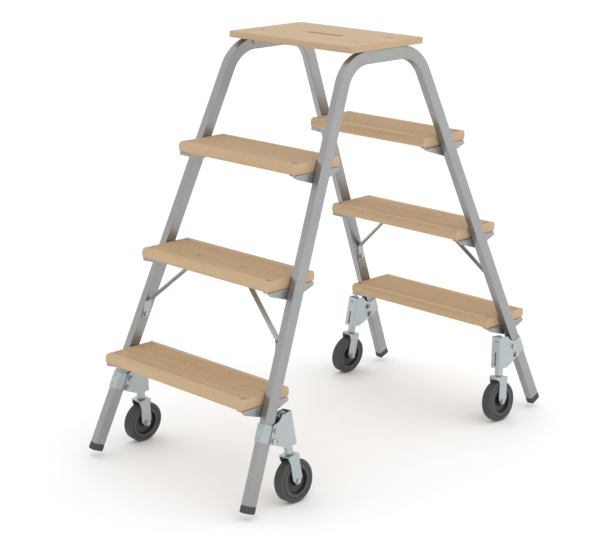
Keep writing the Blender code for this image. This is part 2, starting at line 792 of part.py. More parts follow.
def fork(name, place):
    """Pressed U-shaped fork over the wheel, with the axle's holes."""
    bm = bmesh.new()
    prism(bm, fork_outline(), -FORK_HALF, FORK_HALF)
    corners = []
    for edge in bm.edges:
        on_top = all(abs(v.co.z - FORK_TOP) < 1e-5 for v in edge.verts)
        lengthwise = abs(edge.verts[0].co.y - edge.verts[1].co.y) < 1e-5
        if on_top and lengthwise:
            corners.append(edge)
    bmesh.ops.bevel(bm, geom=corners, offset=0.0025, segments=2, affect="EDGES", profile=0.5)
    piece = make_object(name, bm, "zinc", place)
    cutters = bmesh.new()
    inside = FORK_HALF - FORK_SHEET
    top = FORK_TOP - FORK_SHEET - 0.0005
    prism(cutters, ((-0.03, -0.03), (0.03, -0.03), (0.03, top), (-0.03, top)), -inside, inside)
    combine(piece, cutters, "DIFFERENCE", place)
    holes = bmesh.new()
    across_rod(holes, 0.0, 0.0, BOLT_RADIUS + GAP, -0.03, 0.03)
    combine(piece, holes, "DIFFERENCE", place)


def wheel(label, wheel_place):
    """Tyre on a wheel centre, both turned round the axle."""
    half = WHEEL_HALF_WIDTH
    shoulder = WHEEL_SHOULDER
    edge = WHEEL_RADIUS - shoulder
    right = arc((edge, half - shoulder), shoulder, 0, 90, 2)
    left = [(r, -h) for r, h in reversed(right)]
    tyre_profile = left + right + [(RIM_RADIUS, half - 0.0010), (RIM_RADIUS, 0.0010 - half)]
    bm = bmesh.new()
    turned(bm, tyre_profile, WHEEL_SIDES, lambda x, y, h: Vector((x, h, y)))
    make_object("tyre_" + label, bm, "tyre", wheel_place)
    rim = RIM_RADIUS - GAP
    hub = 0.0085
    bore = BOLT_RADIUS + 0.0002
    recess = 0.0062
    side = [(rim, half - 0.0012), (rim - 0.003, half - 0.0012), (rim - 0.0045, recess),
            (hub, recess), (bore, half + 0.0001)]
    other = [(r, -h) for r, h in reversed(side)]
    bm = bmesh.new()
    turned(bm, side + other, WHEEL_SIDES, lambda x, y, h: Vector((x, h, y)))
    make_object("wheel_centre_" + label, bm, "wheel_plastic", wheel_place)


def bolt_with_nut(name, place, x, z, outer, face):
    """Hexagon bolt along the axle's direction: its head outside and a nut inside the ladder."""
    head_face = face + GAP
    nut_face = -face - GAP
    tip = nut_face - 0.0075
    profile = (
        (BOLT_RADIUS, tip), (BOLT_RADIUS, nut_face - 0.0055), (NUT_RADIUS, nut_face - 0.0055),
        (NUT_RADIUS, nut_face), (BOLT_RADIUS, nut_face), (BOLT_RADIUS, head_face),
        (NUT_RADIUS, head_face), (NUT_RADIUS, head_face + 0.0024),
        (NUT_RADIUS - 0.0018, head_face + 0.0032),
    )
    rings = []
    for radius, y in profile:
        rings.append([Vector((cx, outer * y, cz)) for cx, cz in circle(radius, 6, (x, z))])
    bm = bmesh.new()
    loft(bm, rings)
    make_object(name, bm, "screw_steel", place)


def castor(label, side, end):
    """All the pieces of one castor."""
    place, outer = castor_place(side, end, STEM_LEAN)
    upright, _outer = castor_place(side, end, 0.0)
    spring_housing("spring_housing_" + label, place)
    clamp_band("clamp_band_" + label, side, end, place)
    castor_stem("castor_stem_" + label, place)
    coil_spring("coil_spring_" + label, place)
    fork("fork_" + label, place)
    wheel(label, upright)
    bolt_with_nut("axle_" + label, place, 0.0, 0.0, outer, FORK_HALF)
    for level, along in zip(("upper", "lower"), CLAMP_BOLTS):
        x, z = castor_from_leg(along, CLAMP_BOLT_OUT)
        bolt_with_nut(f"clamp_bolt_{level}_{label}", place, x, z, outer, HOUSING_HALF)


def build():
    clear_scene()
    for side_name, side in SIDES.items():
        side_frame(side_name, side)
    platform_board()
    for end_name, end in ENDS.items():
        for number, top, centre, half_length in tread_levels():
            tread(f"tread_{end_name}_{number}", end, number, top, centre, half_length)
        for side_name, side in SIDES.items():
            label = f"{end_name}_{side_name}"
            strut("strut_" + label, side, end)
            rubber_shoe("rubber_shoe_" + label, side, end)
            castor(label, side, end)


build()
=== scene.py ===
"""Looks of the rolling warehouse ladder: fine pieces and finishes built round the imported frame.

Every piece is made in the row frame, in metres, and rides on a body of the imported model.
"""

import json
import math

import bmesh
import bpy
from mathutils import Matrix, Vector


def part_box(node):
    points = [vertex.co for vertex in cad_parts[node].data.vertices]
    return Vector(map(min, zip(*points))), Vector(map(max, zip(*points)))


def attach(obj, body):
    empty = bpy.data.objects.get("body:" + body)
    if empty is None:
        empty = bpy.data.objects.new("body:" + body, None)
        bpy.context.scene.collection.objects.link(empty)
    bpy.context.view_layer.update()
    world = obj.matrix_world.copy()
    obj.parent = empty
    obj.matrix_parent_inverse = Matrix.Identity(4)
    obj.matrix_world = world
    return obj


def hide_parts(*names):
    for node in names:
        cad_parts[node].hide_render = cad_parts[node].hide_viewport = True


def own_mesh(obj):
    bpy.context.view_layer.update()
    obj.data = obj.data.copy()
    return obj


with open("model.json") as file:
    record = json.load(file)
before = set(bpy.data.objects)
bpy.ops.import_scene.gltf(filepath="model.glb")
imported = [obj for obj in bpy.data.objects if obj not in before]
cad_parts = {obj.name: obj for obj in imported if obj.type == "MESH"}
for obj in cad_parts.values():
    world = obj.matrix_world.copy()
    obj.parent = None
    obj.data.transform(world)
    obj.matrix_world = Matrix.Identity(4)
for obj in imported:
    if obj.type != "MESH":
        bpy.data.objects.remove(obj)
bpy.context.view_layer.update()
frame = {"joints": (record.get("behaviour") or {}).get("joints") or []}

JOINTS = {joint["name"]: joint for joint in frame["joints"]}
SIDES = {"right": 1, "left": -1}
ENDS = {"front": -1, "rear": 1}
TOP_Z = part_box("platform_board")[1].z

GAP = 0.0003
SPLAY = math.radians(5.0)
LEG_ANGLE = math.radians(22.69)
TUBE_WIDE = 0.030
TUBE_THICK = 0.020
TUBE_WALL = 0.0018
TUBE_CORNER = 0.0025
TUBE_OFFSET = 0.1776
TOP_RUN_DEPTH = 0.0464
BEND_RADIUS = 0.085
LEG_START_Y = 0.10063
LEG_START_DEPTH = 0.01469
LEG_END = 1.033
SHOE_HEIGHT = 0.0177
RIVET_ABOVE_SHOE = 0.0105

PLATFORM_CORNER = 0.0035
PLATFORM_SCREWS = (0.1523, 0.0551)
GRIP_SLOT = (0.116, 0.020)
TREAD_TOP_RADIUS = 0.009
TREAD_BOTTOM_RADIUS = 0.008
TREAD_SCREW_INSET = 0.0110
TREAD_SCREW_Y = 0.0553
GROOVE_COUNT = 16
GROOVE_PITCH = 0.0070
GROOVE_WIDTH = 0.0032
GROOVE_DEPTH = 0.0015
STRUT_SCREW = (0.0695, 0.3388)
BOARD_HOLE = 0.0026
SCREW_NUT_RADIUS = 0.0046
SCREW_NUT_HIGH = 0.0036
SCREW_HEAD_RADIUS = 0.0066
SCREW_HEAD_HIGH = 0.0017

BRACKET_HALF_LENGTH = 0.068
BRACKET_SHEET = 0.0025
BRACKET_FLANGE = 0.0230
GUSSET_DEPTH = 0.0275
GUSSET_END_DEPTH = 0.0085

STRUT_HALF = 0.0095
STRUT_SHEET = 0.002
STRUT_FOLD = math.radians(36)
STRUT_RIDGE = 0.0044
STRUT_FIRST_BEND = 0.0212
STRUT_BEND = (0.366, 0.634)
STRUT_BOLT = (0.3728, 0.664)

WHEEL_RADIUS = 0.0496
WHEEL_HALF_WIDTH = 0.0132
WHEEL_SHOULDER = 0.0048
RIM_RADIUS = 0.0400
AXLE_Y = 0.3613
AXLE_DEPTH = 0.9477
STEM_LEAN = math.radians(7.0)
STEM_RADIUS = 0.010
ROD_RADIUS = 0.004
WIRE_RADIUS = 0.0009
COIL_RADIUS = 0.0082
COIL_TURNS = 14
FORK_HALF = 0.01575
FORK_SHEET = 0.002
FORK_TOP = 0.0625
FORK_BEND = 0.0030
RIB_RADIUS = 0.0019
RIB_X = 0.0068
HOUSING_HALF = 0.014
HOUSING_SHEET = 0.002
HOUSING_LOW = 0.0839
HOUSING_HIGH = 0.1627
HOUSING_WEB = -0.0163
HOUSING_BEND = 0.0026
GUIDE_TOP = 0.0885
PLUG = (0.1450, 0.1560)
WEB_SLOT = (0.0895, 0.1238)
WEB_HOLE = 0.1507
CLAMP_LOW = 0.8945
CLAMP_HIGH = 0.8545
CLAMP_SHEET = 0.0014
CLAMP_BOLTS = (0.8626, 0.8861)
CLAMP_BOLT_OUT = -0.0194
BOLT_RADIUS = 0.004
NUT_RADIUS = 0.0070
THREAD_PITCH = 0.001
BOLT_HEAD_RADIUS = 0.0065
AXLE_HEAD_RADIUS = 0.0056

FINISHES = {}


# ------------------------------------------------------------- finishes

def plug(tree, socket, value):
    """Link an input socket to another socket, or set it to a value."""
    if isinstance(value, bpy.types.NodeSocket):
        tree.links.new(value, socket)
    else:
        socket.default_value = value


def add_node(tree, kind, inputs=None, **settings):
    """A shader node with its settings, and each input set to a value or linked to a socket."""
    node = tree.nodes.new(kind)
    for key, value in settings.items():
        setattr(node, key, value)
    for key, value in (inputs or {}).items():
        plug(tree, node.inputs[key], value)
    return node


def new_finish(name, metallic):
    mat = bpy.data.materials.new(name)
    mat.use_nodes = True
    shader = mat.node_tree.nodes["Principled BSDF"]
    shader.inputs["Metallic"].default_value = metallic
    FINISHES[name] = mat
    return mat.node_tree, shader


def stretched(tree, scale, source="Object"):
    """Texture space of the part, stretched by a scale for each axis."""
    if source == "Object":
        coords = add_node(tree, "ShaderNodeTexCoord").outputs["Object"]
    else:
        coords = add_node(tree, "ShaderNodeAttribute", attribute_name=source).outputs["Vector"]
    return add_node(tree, "ShaderNodeMapping", {"Vector": coords, "Scale": scale}).outputs[0]


def noise(tree, space, detail, roughness):
    """Noise in a texture space, or in one scaled evenly if space is a number."""
    if isinstance(space, float):
        space = stretched(tree, (space, space, space))
    inputs = {"Vector": space, "Scale": 1.0, "Detail": detail, "Roughness": roughness}
    return add_node(tree, "ShaderNodeTexNoise", inputs).outputs["Fac"]


def cells(tree, scale, output):
    inputs = {"Vector": stretched(tree, scale), "Scale": 1.0}
    return add_node(tree, "ShaderNodeTexVoronoi", inputs, feature="F1").outputs[output]


def added(tree, first, second):
    inputs = {0: first, 1: second}
    return add_node(tree, "ShaderNodeMath", inputs, operation="ADD").outputs[0]


def ranged(tree, value, low, high, new_low, new_high):
    """A value moved from one range to another, held at its ends."""
    inputs = {"Value": value, "From Min": low, "From Max": high,
              "To Min": new_low, "To Max": new_high}
    return add_node(tree, "ShaderNodeMapRange", inputs).outputs["Result"]


def blended(tree, factor, first, second):
    """Two colours mixed by a factor."""
    inputs = {0: factor, 6: first, 7: second}
    return add_node(tree, "ShaderNodeMix", inputs, data_type="RGBA").outputs[2]


def surfaced(tree, shader, colour, rough, height, distance, strength):
    """Give the shader its colour, roughness and bump."""
    inputs = {"Height": height, "Distance": distance, "Strength": strength}
    bump = add_node(tree, "ShaderNodeBump", inputs).outputs[0]
    for key, value in (("Base Color", colour), ("Roughness", rough), ("Normal", bump)):
        tree.links.new(value, shader.inputs[key])


def darker(colour, share):
    return tuple(channel * share for channel in colour[:3]) + (1.0,)


def wood(name, light, dark, sheen):
    """Lacquered beech: long soft bands, fine fibres and short darker flecks along X."""
    tree, shader = new_finish(name, 0.0)
    bands = noise(tree, stretched(tree, (2.2, 48.0, 48.0)), 4.0, 0.6)
    fibres = noise(tree, stretched(tree, (22.0, 1100.0, 1100.0)), 2.0, 0.6)
    flecks = cells(tree, (95.0, 620.0, 620.0), "Distance")
    base = blended(tree, ranged(tree, bands, 0.3, 0.72, 0.0, 1.0), light, dark)
    lined = blended(tree, ranged(tree, fibres, 0.35, 0.7, 0.0, 0.35), base, dark)
    fleck = ranged(tree, flecks, 0.12, 0.34, 0.38, 0.0)
    shader.inputs["Specular IOR Level"].default_value = 0.12
    surfaced(tree, shader, blended(tree, fleck, lined, darker(dark, 0.72)),
             ranged(tree, fibres, 0.3, 0.7, sheen, sheen + 0.14), fibres, 0.00012, 0.55)


def drawn_metal(name, light, dark, rough, space_source, space_scale):
    """Metal with faint drawing lines along one direction and a fine grain in its gloss."""
    tree, shader = new_finish(name, 1.0)
    lines = noise(tree, stretched(tree, space_scale, space_source), 3.0, 0.6)
    gloss = added(tree, noise(tree, 1500.0, 2.0, 0.5), lines)
    clouds = noise(tree, 14.0, 3.0, 0.5)
    base = blended(tree, ranged(tree, clouds, 0.3, 0.7, 0.0, 1.0), light, dark)
    surfaced(tree, shader, blended(tree, ranged(tree, lines, 0.4, 0.75, 0.0, 0.45), base, dark),
             ranged(tree, gloss, 0.7, 1.3, rough, rough + 0.10), gloss, 0.00003, 0.35)


def plated(name, light, dark, rough):
    """Zinc plating: small pale and dark crystals, cloudy gloss and a fine grain."""
    tree, shader = new_finish(name, 1.0)
    crystals = cells(tree, (420.0, 420.0, 420.0), "Color")
    shade = add_node(tree, "ShaderNodeSeparateColor", {0: crystals}).outputs[0]
    clouds = noise(tree, 30.0, 4.0, 0.6)
    grain = noise(tree, 1800.0, 2.0, 0.5)
    tone = ranged(tree, added(tree, shade, clouds), 0.4, 1.4, 0.0, 1.0)
    gloss = ranged(tree, added(tree, clouds, grain), 0.7, 1.3, rough, rough + 0.14)
    surfaced(tree, shader, blended(tree, tone, light, dark), gloss, grain, 0.00003, 0.35)


def moulded(name, light, dark, rough, grain_scale, depth, painted_shade_attribute=None):
    """Rubber or plastic: a fine moulded grain, with dusty lighter clouds. Where an attribute is
    named, its low values paint shade into the colour, so recesses and walls come out darker."""
    tree, shader = new_finish(name, 0.0)
    grain = noise(tree, grain_scale, 3.0, 0.6)
    dust = noise(tree, 45.0, 5.0, 0.65)
    colour = blended(tree, ranged(tree, dust, 0.35, 0.72, 0.0, 1.0), dark, light)
    # Painted shade: where the attribute is low, the colour is pulled towards a near-black painted
    # shade.
    if painted_shade_attribute:
        painted_lit_factor = add_node(tree, "ShaderNodeAttribute", attribute_name=painted_shade_attribute).outputs["Fac"]
        colour = blended(tree, painted_lit_factor, darker(dark, 0.25), colour)
    shader.inputs["Specular IOR Level"].default_value = 0.4
    surfaced(tree, shader, colour, ranged(tree, dust, 0.3, 0.7, rough - 0.06, rough + 0.08),
             grain, depth, 0.5)


wood("platform_wood", (0.555, 0.404, 0.256, 1), (0.503, 0.354, 0.212, 1), 0.50)
wood("tread_wood", (0.590, 0.428, 0.268, 1), (0.530, 0.373, 0.221, 1), 0.52)
drawn_metal("aluminium", (0.372, 0.371, 0.370, 1), (0.343, 0.342, 0.341, 1), 0.32,
            "flow", (700.0, 700.0, 5.0))
drawn_metal("sheet_aluminium", (0.382, 0.381, 0.380, 1), (0.348, 0.347, 0.346, 1), 0.30,
            "Object", (600.0, 8.0, 600.0))
plated("zinc", (0.462, 0.510, 0.524, 1), (0.436, 0.484, 0.498, 1), 0.30)
drawn_metal("spring", (0.46, 0.47, 0.48, 1), (0.36, 0.37, 0.38, 1), 0.24,
            "Object", (900.0, 900.0, 900.0))
plated("bolt", (0.56, 0.545, 0.525, 1), (0.48, 0.467, 0.447, 1), 0.24)
plated("screw", (0.42, 0.415, 0.405, 1), (0.35, 0.345, 0.335, 1), 0.30)
moulded("rubber", (0.070, 0.069, 0.068, 1), (0.052, 0.052, 0.051, 1), 0.72, 2400.0, 0.00006)
moulded("tyre", (0.076, 0.074, 0.072, 1), (0.055, 0.054, 0.053, 1), 0.58, 2000.0, 0.00005)
# The wheel centre carries a per-vertex level that paints shade into its recesses and walls.
moulded("wheel_plastic", (0.074, 0.073, 0.073, 1), (0.058, 0.058, 0.058, 1), 0.52, 1500.0,
        0.00004, "painted_lit_level")


# ------------------------------------------------------------- meshes

def arc(centre, radius, first, last, steps):
    """Points of an arc from angle first to angle last, in degrees."""
    turn = [math.radians(first + (last - first) * i / steps) for i in range(steps + 1)]
    return [(centre[0] + radius * math.cos(t), centre[1] + radius * math.sin(t)) for t in turn]


def circle(radius, sides, centre=(0.0, 0.0)):
    return arc(centre, radius, 0, 360, sides)[:-1]


def round_rect(width, height, radius, steps=4):
    """Outline of a rectangle with round corners, centred on the origin."""
    x = width / 2 - radius
    y = height / 2 - radius
    corners = ((x, y, 0), (-x, y, 90), (-x, -y, 180), (x, -y, 270))
    points = []
    for cx, cy, first in corners:
        points += arc((cx, cy), radius, first, first + 90, steps)
    return points


def hexagon(radius):
    """Outline of a hexagon with extra points along each side."""
    corners = circle(radius, 6)
    points = []
    for i, (x, y) in enumerate(corners):
        next_x, next_y = corners[(i + 1) % 6]
        points += [(x + (next_x - x) * t, y + (next_y - y) * t) for t in (0.0, 0.25, 0.5, 0.75)]
    return points


def banded(bm, pairs):
    """Skin the gap between each pair of equal rings."""
    for low, high in pairs:
        for i in range(len(low)):
            j = (i + 1) % len(low)
            bm.faces.new((low[i], low[j], high[j], high[i]))


def loft(bm, sections, close=False):
    """Skin equal rings of points one after another; close joins the last to the first."""
    rings = [[bm.verts.new(point) for point in section] for section in sections]
    pairs = list(zip(rings, rings[1:]))
    if close:
        pairs.append((rings[-1], rings[0]))
    else:
        bm.faces.new(rings[0])
        bm.faces.new(list(reversed(rings[-1])))
    banded(bm, pairs)


def lofted(sections, close=False):
    bm = bmesh.new()
    loft(bm, sections, close)
    return bm


def skinned(rings, position):
    """Body lofted through rings, with each of their points placed by a function."""
    return lofted([[position(*point) for point in ring] for ring in rings])


def scratch(bm):
    """A temporary object for a Boolean."""
    bmesh.ops.recalc_face_normals(bm, faces=bm.faces)
    mesh = bpy.data.meshes.new("scratch")
    bm.to_mesh(mesh)
    bm.free()
    obj = bpy.data.objects.new("scratch", mesh)
    bpy.context.scene.collection.objects.link(obj)
    return obj


def carved(bm, *steps):
    """The body after each Boolean step, given as (operation, bmesh of the other body)."""
    body = scratch(bm)
    guides = []
    for operation, tool in steps:
        guide = scratch(tool)
        guides.append(guide)
        boolean = body.modifiers.new(operation, "BOOLEAN")
        boolean.operation = operation
        boolean.object = guide
    bpy.context.view_layer.update()
    evaluated = body.evaluated_get(bpy.context.evaluated_depsgraph_get())
    result = bmesh.new()
    result.from_mesh(evaluated.to_mesh())
    evaluated.to_mesh_clear()
    for obj in [body] + guides:
        mesh = obj.data
        bpy.data.objects.remove(obj)
        bpy.data.meshes.remove(mesh)
    return result


def piece(name, bm, finish, body, replaces=(), place=None, edge=0.0):
    """A finished piece on its body; edge is the radius that its sharp edges are eased by."""
    bmesh.ops.remove_doubles(bm, verts=bm.verts, dist=1e-6)
    bmesh.ops.recalc_face_normals(bm, faces=bm.faces)
    if place is not None:
        bm.transform(place)
    mesh = bpy.data.meshes.new(name)
    bm.to_mesh(mesh)
    bm.free()
    mesh.shade_smooth()
    mesh.set_sharp_from_angle(angle=math.radians(32))
    mesh.materials.append(FINISHES[finish])
    obj = bpy.data.objects.new(name, mesh)
    bpy.context.scene.collection.objects.link(obj)
    if edge:
        bevel = obj.modifiers.new("eased_edges", "BEVEL")
        bevel.width = edge
        bevel.segments = 2
        bevel.limit_method = "ANGLE"
        bevel.angle_limit = math.radians(40)
        bevel.miter_outer = "MITER_ARC"
    normals = obj.modifiers.new("flat_faces", "WEIGHTED_NORMAL")
    normals.keep_sharp = True
    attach(obj, body)
    if replaces:
        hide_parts(*replaces)
    return obj


# ---------------------------------------------------------- positions

def frame_point(side, out, y, depth):
    """A point by its distance from the middle plane, square to the side frame's plane, and
    by its depth below the platform's top along that plane."""
    x = out * math.cos(SPLAY) + depth * math.sin(SPLAY)
    z = TOP_Z + out * math.sin(SPLAY) - depth * math.cos(SPLAY)
    return Vector((side * x, y, z))


def leg_point(side, end, along, across, out):
    """A point by its place along a leg, outwards across it in the frame's plane, and out."""
    y = LEG_START_Y + along * math.sin(LEG_ANGLE) + across * math.cos(LEG_ANGLE)
    depth = LEG_START_DEPTH + along * math.cos(LEG_ANGLE) - across * math.sin(LEG_ANGLE)
    return frame_point(side, out, end * y, depth)


def inner_face_x(z):
    out = TUBE_OFFSET - TUBE_THICK / 2
    return (out - (z - TOP_Z) * math.sin(SPLAY)) / math.cos(SPLAY)


def castor_place(label):
    """Matrix of a castor: origin at the wheel's centre, X towards the ladder's end, Z up the
    stem, Y along the axle; and the sign of Y that points away from the ladder."""
    spin = JOINTS["wheel_spin_" + label]
    up = Vector(JOINTS["castor_slide_" + label]["axis"]).normalized()
    outward = Vector(spin["axis"]).normalized()
    away = outward.cross(up).normalized()
    if away.y * spin["pos_m"][1] < 0:
        away = -away
    axle = up.cross(away)
    place = Matrix((away, axle, up)).transposed().to_4x4()
    place.translation = Vector(spin["pos_m"])
    return place, (1 if axle.dot(outward) > 0 else -1)


def castor_from_leg(along, across):
    """Castor coordinates (x, z) of a point given along and across the leg."""
    axle_y = AXLE_Y - LEG_START_Y
    axle_depth = AXLE_DEPTH - LEG_START_DEPTH
    axle_along = axle_y * math.sin(LEG_ANGLE) + axle_depth * math.cos(LEG_ANGLE)
    axle_across = axle_y * math.cos(LEG_ANGLE) - axle_depth * math.sin(LEG_ANGLE)
    turn = LEG_ANGLE + STEM_LEAN
    step_along = along - axle_along
    step_across = across - axle_across
    x = math.sin(turn) * step_along + math.cos(turn) * step_across
    z = -math.cos(turn) * step_along + math.sin(turn) * step_across
    return x, z


# ---------------------------------------------------------- side frames

def tube_path(steps=22):
    """Stations of the centre line: (y, depth, direction of the cross axis in that plane)."""
    corner_along = (TOP_RUN_DEPTH - LEG_START_DEPTH) / math.cos(LEG_ANGLE)
    corner_y = LEG_START_Y + corner_along * math.sin(LEG_ANGLE)
    turn = math.pi / 2 - LEG_ANGLE
    straight = corner_y - BEND_RADIUS * math.tan(turn / 2)
    half = []
    for i in range(steps + 1):
        t = turn * i / steps
        y = straight + BEND_RADIUS * math.sin(t)
        depth = TOP_RUN_DEPTH + BEND_RADIUS * (1 - math.cos(t))
        half.append((y, depth, (math.sin(t), -math.cos(t))))
    end_y = LEG_START_Y + LEG_END * math.sin(LEG_ANGLE)
    end_depth = LEG_START_DEPTH + LEG_END * math.cos(LEG_ANGLE)
    half.append((end_y, end_depth, (math.cos(LEG_ANGLE), -math.sin(LEG_ANGLE))))
    mirrored = [(-y, depth, (-cy, cd)) for y, depth, (cy, cd) in reversed(half)]
    return mirrored + half


def side_tube(side_name, side):
    """One hollow aluminium tube, bent twice. The attribute flow holds each point's place
    across and along the tube, which the drawing lines follow."""
    wall = 2 * TUBE_WALL
    outlines = (round_rect(TUBE_THICK, TUBE_WIDE, TUBE_CORNER, 5),
                round_rect(TUBE_THICK - wall, TUBE_WIDE - wall, TUBE_CORNER - 0.0012, 5))
    bm = bmesh.new()
    flow = bm.verts.layers.float_vector.new("flow")
    skins = []
    for outline in outlines:
        rings = []
        length = 0.0
        previous = None
        for y, depth, (cross_y, cross_d) in tube_path():
            if previous:
                length += math.hypot(y - previous[0], depth - previous[1])
            previous = (y, depth)
            ring = []
            for u, v in outline:
                point = frame_point(side, TUBE_OFFSET + u, y + v * cross_y, depth + v * cross_d)
                vert = bm.verts.new(point)
                vert[flow] = Vector((u + side, v, length))
                ring.append(vert)
            rings.append(ring)
        skins.append(rings)
    pairs = []
    for rings in skins:
        pairs += list(zip(rings, rings[1:]))
    pairs += [(skins[0][station], skins[1][station]) for station in (0, -1)]
    banded(bm, pairs)
    piece("side_tube_" + side_name, bm, "aluminium", "ladder", ["side_frame_" + side_name])


def bracket_section(side, y, under, depth, flange):
    """Section of an angle bracket: a flat flange on top, and a leg against the side frame."""
    back = inner_face_x(under)
    outer_bend = 0.0032
    inner_bend = outer_bend - BRACKET_SHEET
    centre = (back - outer_bend, under - outer_bend)
    points = [(back - flange, under)] + arc(centre, outer_bend, 90, 0, 5)
    points += [(back, under - depth), (back - BRACKET_SHEET, under - depth)]
    points += arc(centre, inner_bend, 0, 90, 4) + [(back - flange, under - BRACKET_SHEET)]
    lean = math.tan(SPLAY)
    return [Vector((side * (x + (under - z) * lean), y, z)) for x, z in points]


def rounded_end(distance, radius):
    """How much a sheet with a round corner is cut back at a distance from its end."""
    if distance >= radius:
        return 0.0
    return radius - math.sqrt(radius * radius - (radius - distance) ** 2)


def gusset_depth(y):
    """Depth of a tread bracket's upright leg: a shallow V with a rounded tip."""
    flat = 0.006
    shoulder = BRACKET_HALF_LENGTH - 0.004
    t = max(0.0, min(1.0, (abs(y) - flat) / (shoulder - flat)))
    return GUSSET_DEPTH + (GUSSET_END_DEPTH - GUSSET_DEPTH) * t


def angle_bracket(name, side, centre, under, depth_at, corner):
    """Bracket along Y whose upright leg has the depth that depth_at gives at each place."""
    half = BRACKET_HALF_LENGTH
    near_end = [corner * t for t in (0.0, 0.04, 0.12, 0.25, 0.42, 0.62, 0.82, 1.0)]
    places = [-half + step for step in near_end] + [-0.045, -0.022, -0.006, 0.006, 0.022, 0.045]
    places += [half - step for step in reversed(near_end)]
    sections = []
    for y in places:
        cut = rounded_end(half - abs(y), corner)
        depth = max(depth_at(y) - cut, 0.0036)
        sections.append(bracket_section(side, centre + y, under, depth, BRACKET_FLANGE - cut))
    piece(name, lofted(sections), "sheet_aluminium", "ladder", edge=0.00035)


def brackets(side_name, side):
    platform_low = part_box("platform_board")[0].z
    angle_bracket("platform_bracket_" + side_name, side, 0.0, platform_low - GAP,
                  lambda y: 0.018, 0.004)
    for end_name in ENDS:
        for number in (1, 2, 3):
            low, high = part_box(f"tread_{end_name}_{number}")
            name = f"tread_bracket_{end_name}_{number}_{side_name}"
            angle_bracket(name, side, (low.y + high.y) / 2, low.z - GAP, gusset_depth, 0.005)


def rubber_shoe(label, side, end):
    """Shoe on the tube's end: plug, seat, lightly crowned sole with shallow ribs."""
    inside = TUBE_WALL + GAP
    seat = LEG_END + GAP
    foot = LEG_END + SHOE_HEIGHT
    plug_scale = (TUBE_THICK - 2 * inside, TUBE_WIDE - 2 * inside)
    rows = [(LEG_END - 0.006, plug_scale), (seat, plug_scale),
            (seat, (TUBE_THICK - 0.0008, TUBE_WIDE - 0.0008)),
            (seat + 0.0004, (TUBE_THICK, TUBE_WIDE)),
            (foot - 0.0032, (TUBE_THICK, TUBE_WIDE))]
    for step in (20, 40, 60, 80):
        t = math.radians(step)
        cut = 2 * 0.0026 * (1 - math.cos(t))
        rows.append((foot - 0.0032 + 0.0026 * math.sin(t), (TUBE_THICK - cut, TUBE_WIDE - cut)))
    sections = []
    for along, (thick, wide) in rows:
        outline = round_rect(thick, wide, 0.0018, 4)
        sections.append([leg_point(side, end, along, v, TUBE_OFFSET + u) for u, v in outline])
    bm = lofted(sections)
    ribs = bmesh.new()
    for i in range(-2, 3):
        groove = []
        for u in (-0.02, 0.02):
            low = foot - 0.0016
            corners = ((i * 0.0052 - 0.0008, low), (i * 0.0052 + 0.0008, low),
                       (i * 0.0052 + 0.0010, foot + 0.002), (i * 0.0052 - 0.0010, foot + 0.002))
            groove.append([leg_point(side, end, along, v, TUBE_OFFSET + u)
                           for v, along in corners])
        loft(ribs, groove)
    piece("shoe_" + label, carved(bm, ("DIFFERENCE", ribs)), "rubber", "ladder",
          ["rubber_shoe_" + label], edge=0.0003)


# ------------------------------------------------------------- boards

def at_height(outline, z):
    return [Vector((x, y, z)) for x, y in outline]


def upright_rods(places, radius, low, high):
    """Upright rods that drill a board."""
    bm = bmesh.new()
    for x, y in places:
        loft(bm, [at_height(circle(radius, 32, (x, y)), z) for z in (low, high)])
    return bm


def platform_board():
    """Board with eased edges, a grip slot with eased edges and four screw holes."""
    low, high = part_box("platform_board")
    length = high.x - low.x
    depth = high.y - low.y
    ease = 0.0018
    steps = 8
    outer = []
    inner = []
    for i in range(5):
        t = math.radians(22.5 * i)
        cut = ease * (1 - math.sin(t))
        outer.append((low.z + ease * (1 - math.cos(t)), cut))
        inner.append((high.z - ease + ease * math.cos(t), cut))
    sections = []
    for z, cut in outer + [(high.z - (z - low.z), cut) for z, cut in reversed(outer)]:
        outline = round_rect(length - 2 * cut, depth - 2 * cut, PLATFORM_CORNER - cut * 0.5, steps)
        sections.append(at_height(outline, z))
    slot_length, slot_width = GRIP_SLOT
    for z, cut in inner + [(low.z + (high.z - z), cut) for z, cut in reversed(inner)]:
        wide = slot_width + 2 * cut
        outline = round_rect(slot_length + 2 * cut, wide, wide / 2 - 0.0001, steps)
        sections.append(at_height(outline, z))
    x, y = PLATFORM_SCREWS
    places = [(sx * x, sy * y) for sx in (1, -1) for sy in (1, -1)]
    seat = high.z - SCREW_HEAD_HIGH
    rods = upright_rods(places, BOARD_HOLE, low.z - 0.01, high.z + 0.01)
    seats = upright_rods(places, SCREW_HEAD_RADIUS + 0.0003, seat, high.z + 0.01)
    board = carved(lofted(sections, close=True), ("DIFFERENCE", rods), ("DIFFERENCE", seats))
    piece("platform", board, "platform_wood", "ladder", ["platform_board"])
    for i, (px, py) in enumerate(places):
        screw(f"platform_screw_{i + 1}", px, py, seat, low.z - GAP - BRACKET_SHEET)


def tread_outline(thick, depth):
    """Section of a tread: rounded long edges, and grooves along the flat of its top."""
    half = depth / 2
    up = TREAD_TOP_RADIUS
    down = TREAD_BOTTOM_RADIUS
    outline = arc((half - up, -up), up, 90, 0, 8)
    outline += arc((half - down, down - thick), down, 0, -90, 7)
    outline += arc((down - half, down - thick), down, 270, 180, 7)
    outline += arc((up - half, -up), up, 180, 90, 8)
    for i in range(GROOVE_COUNT):
        centre = (i - (GROOVE_COUNT - 1) / 2) * GROOVE_PITCH
        wide = GROOVE_WIDTH / 2
        outline += [(centre - wide, 0.0), (centre - wide * 0.72, -GROOVE_DEPTH),
                    (centre + wide * 0.72, -GROOVE_DEPTH), (centre + wide, 0.0)]
    return outline


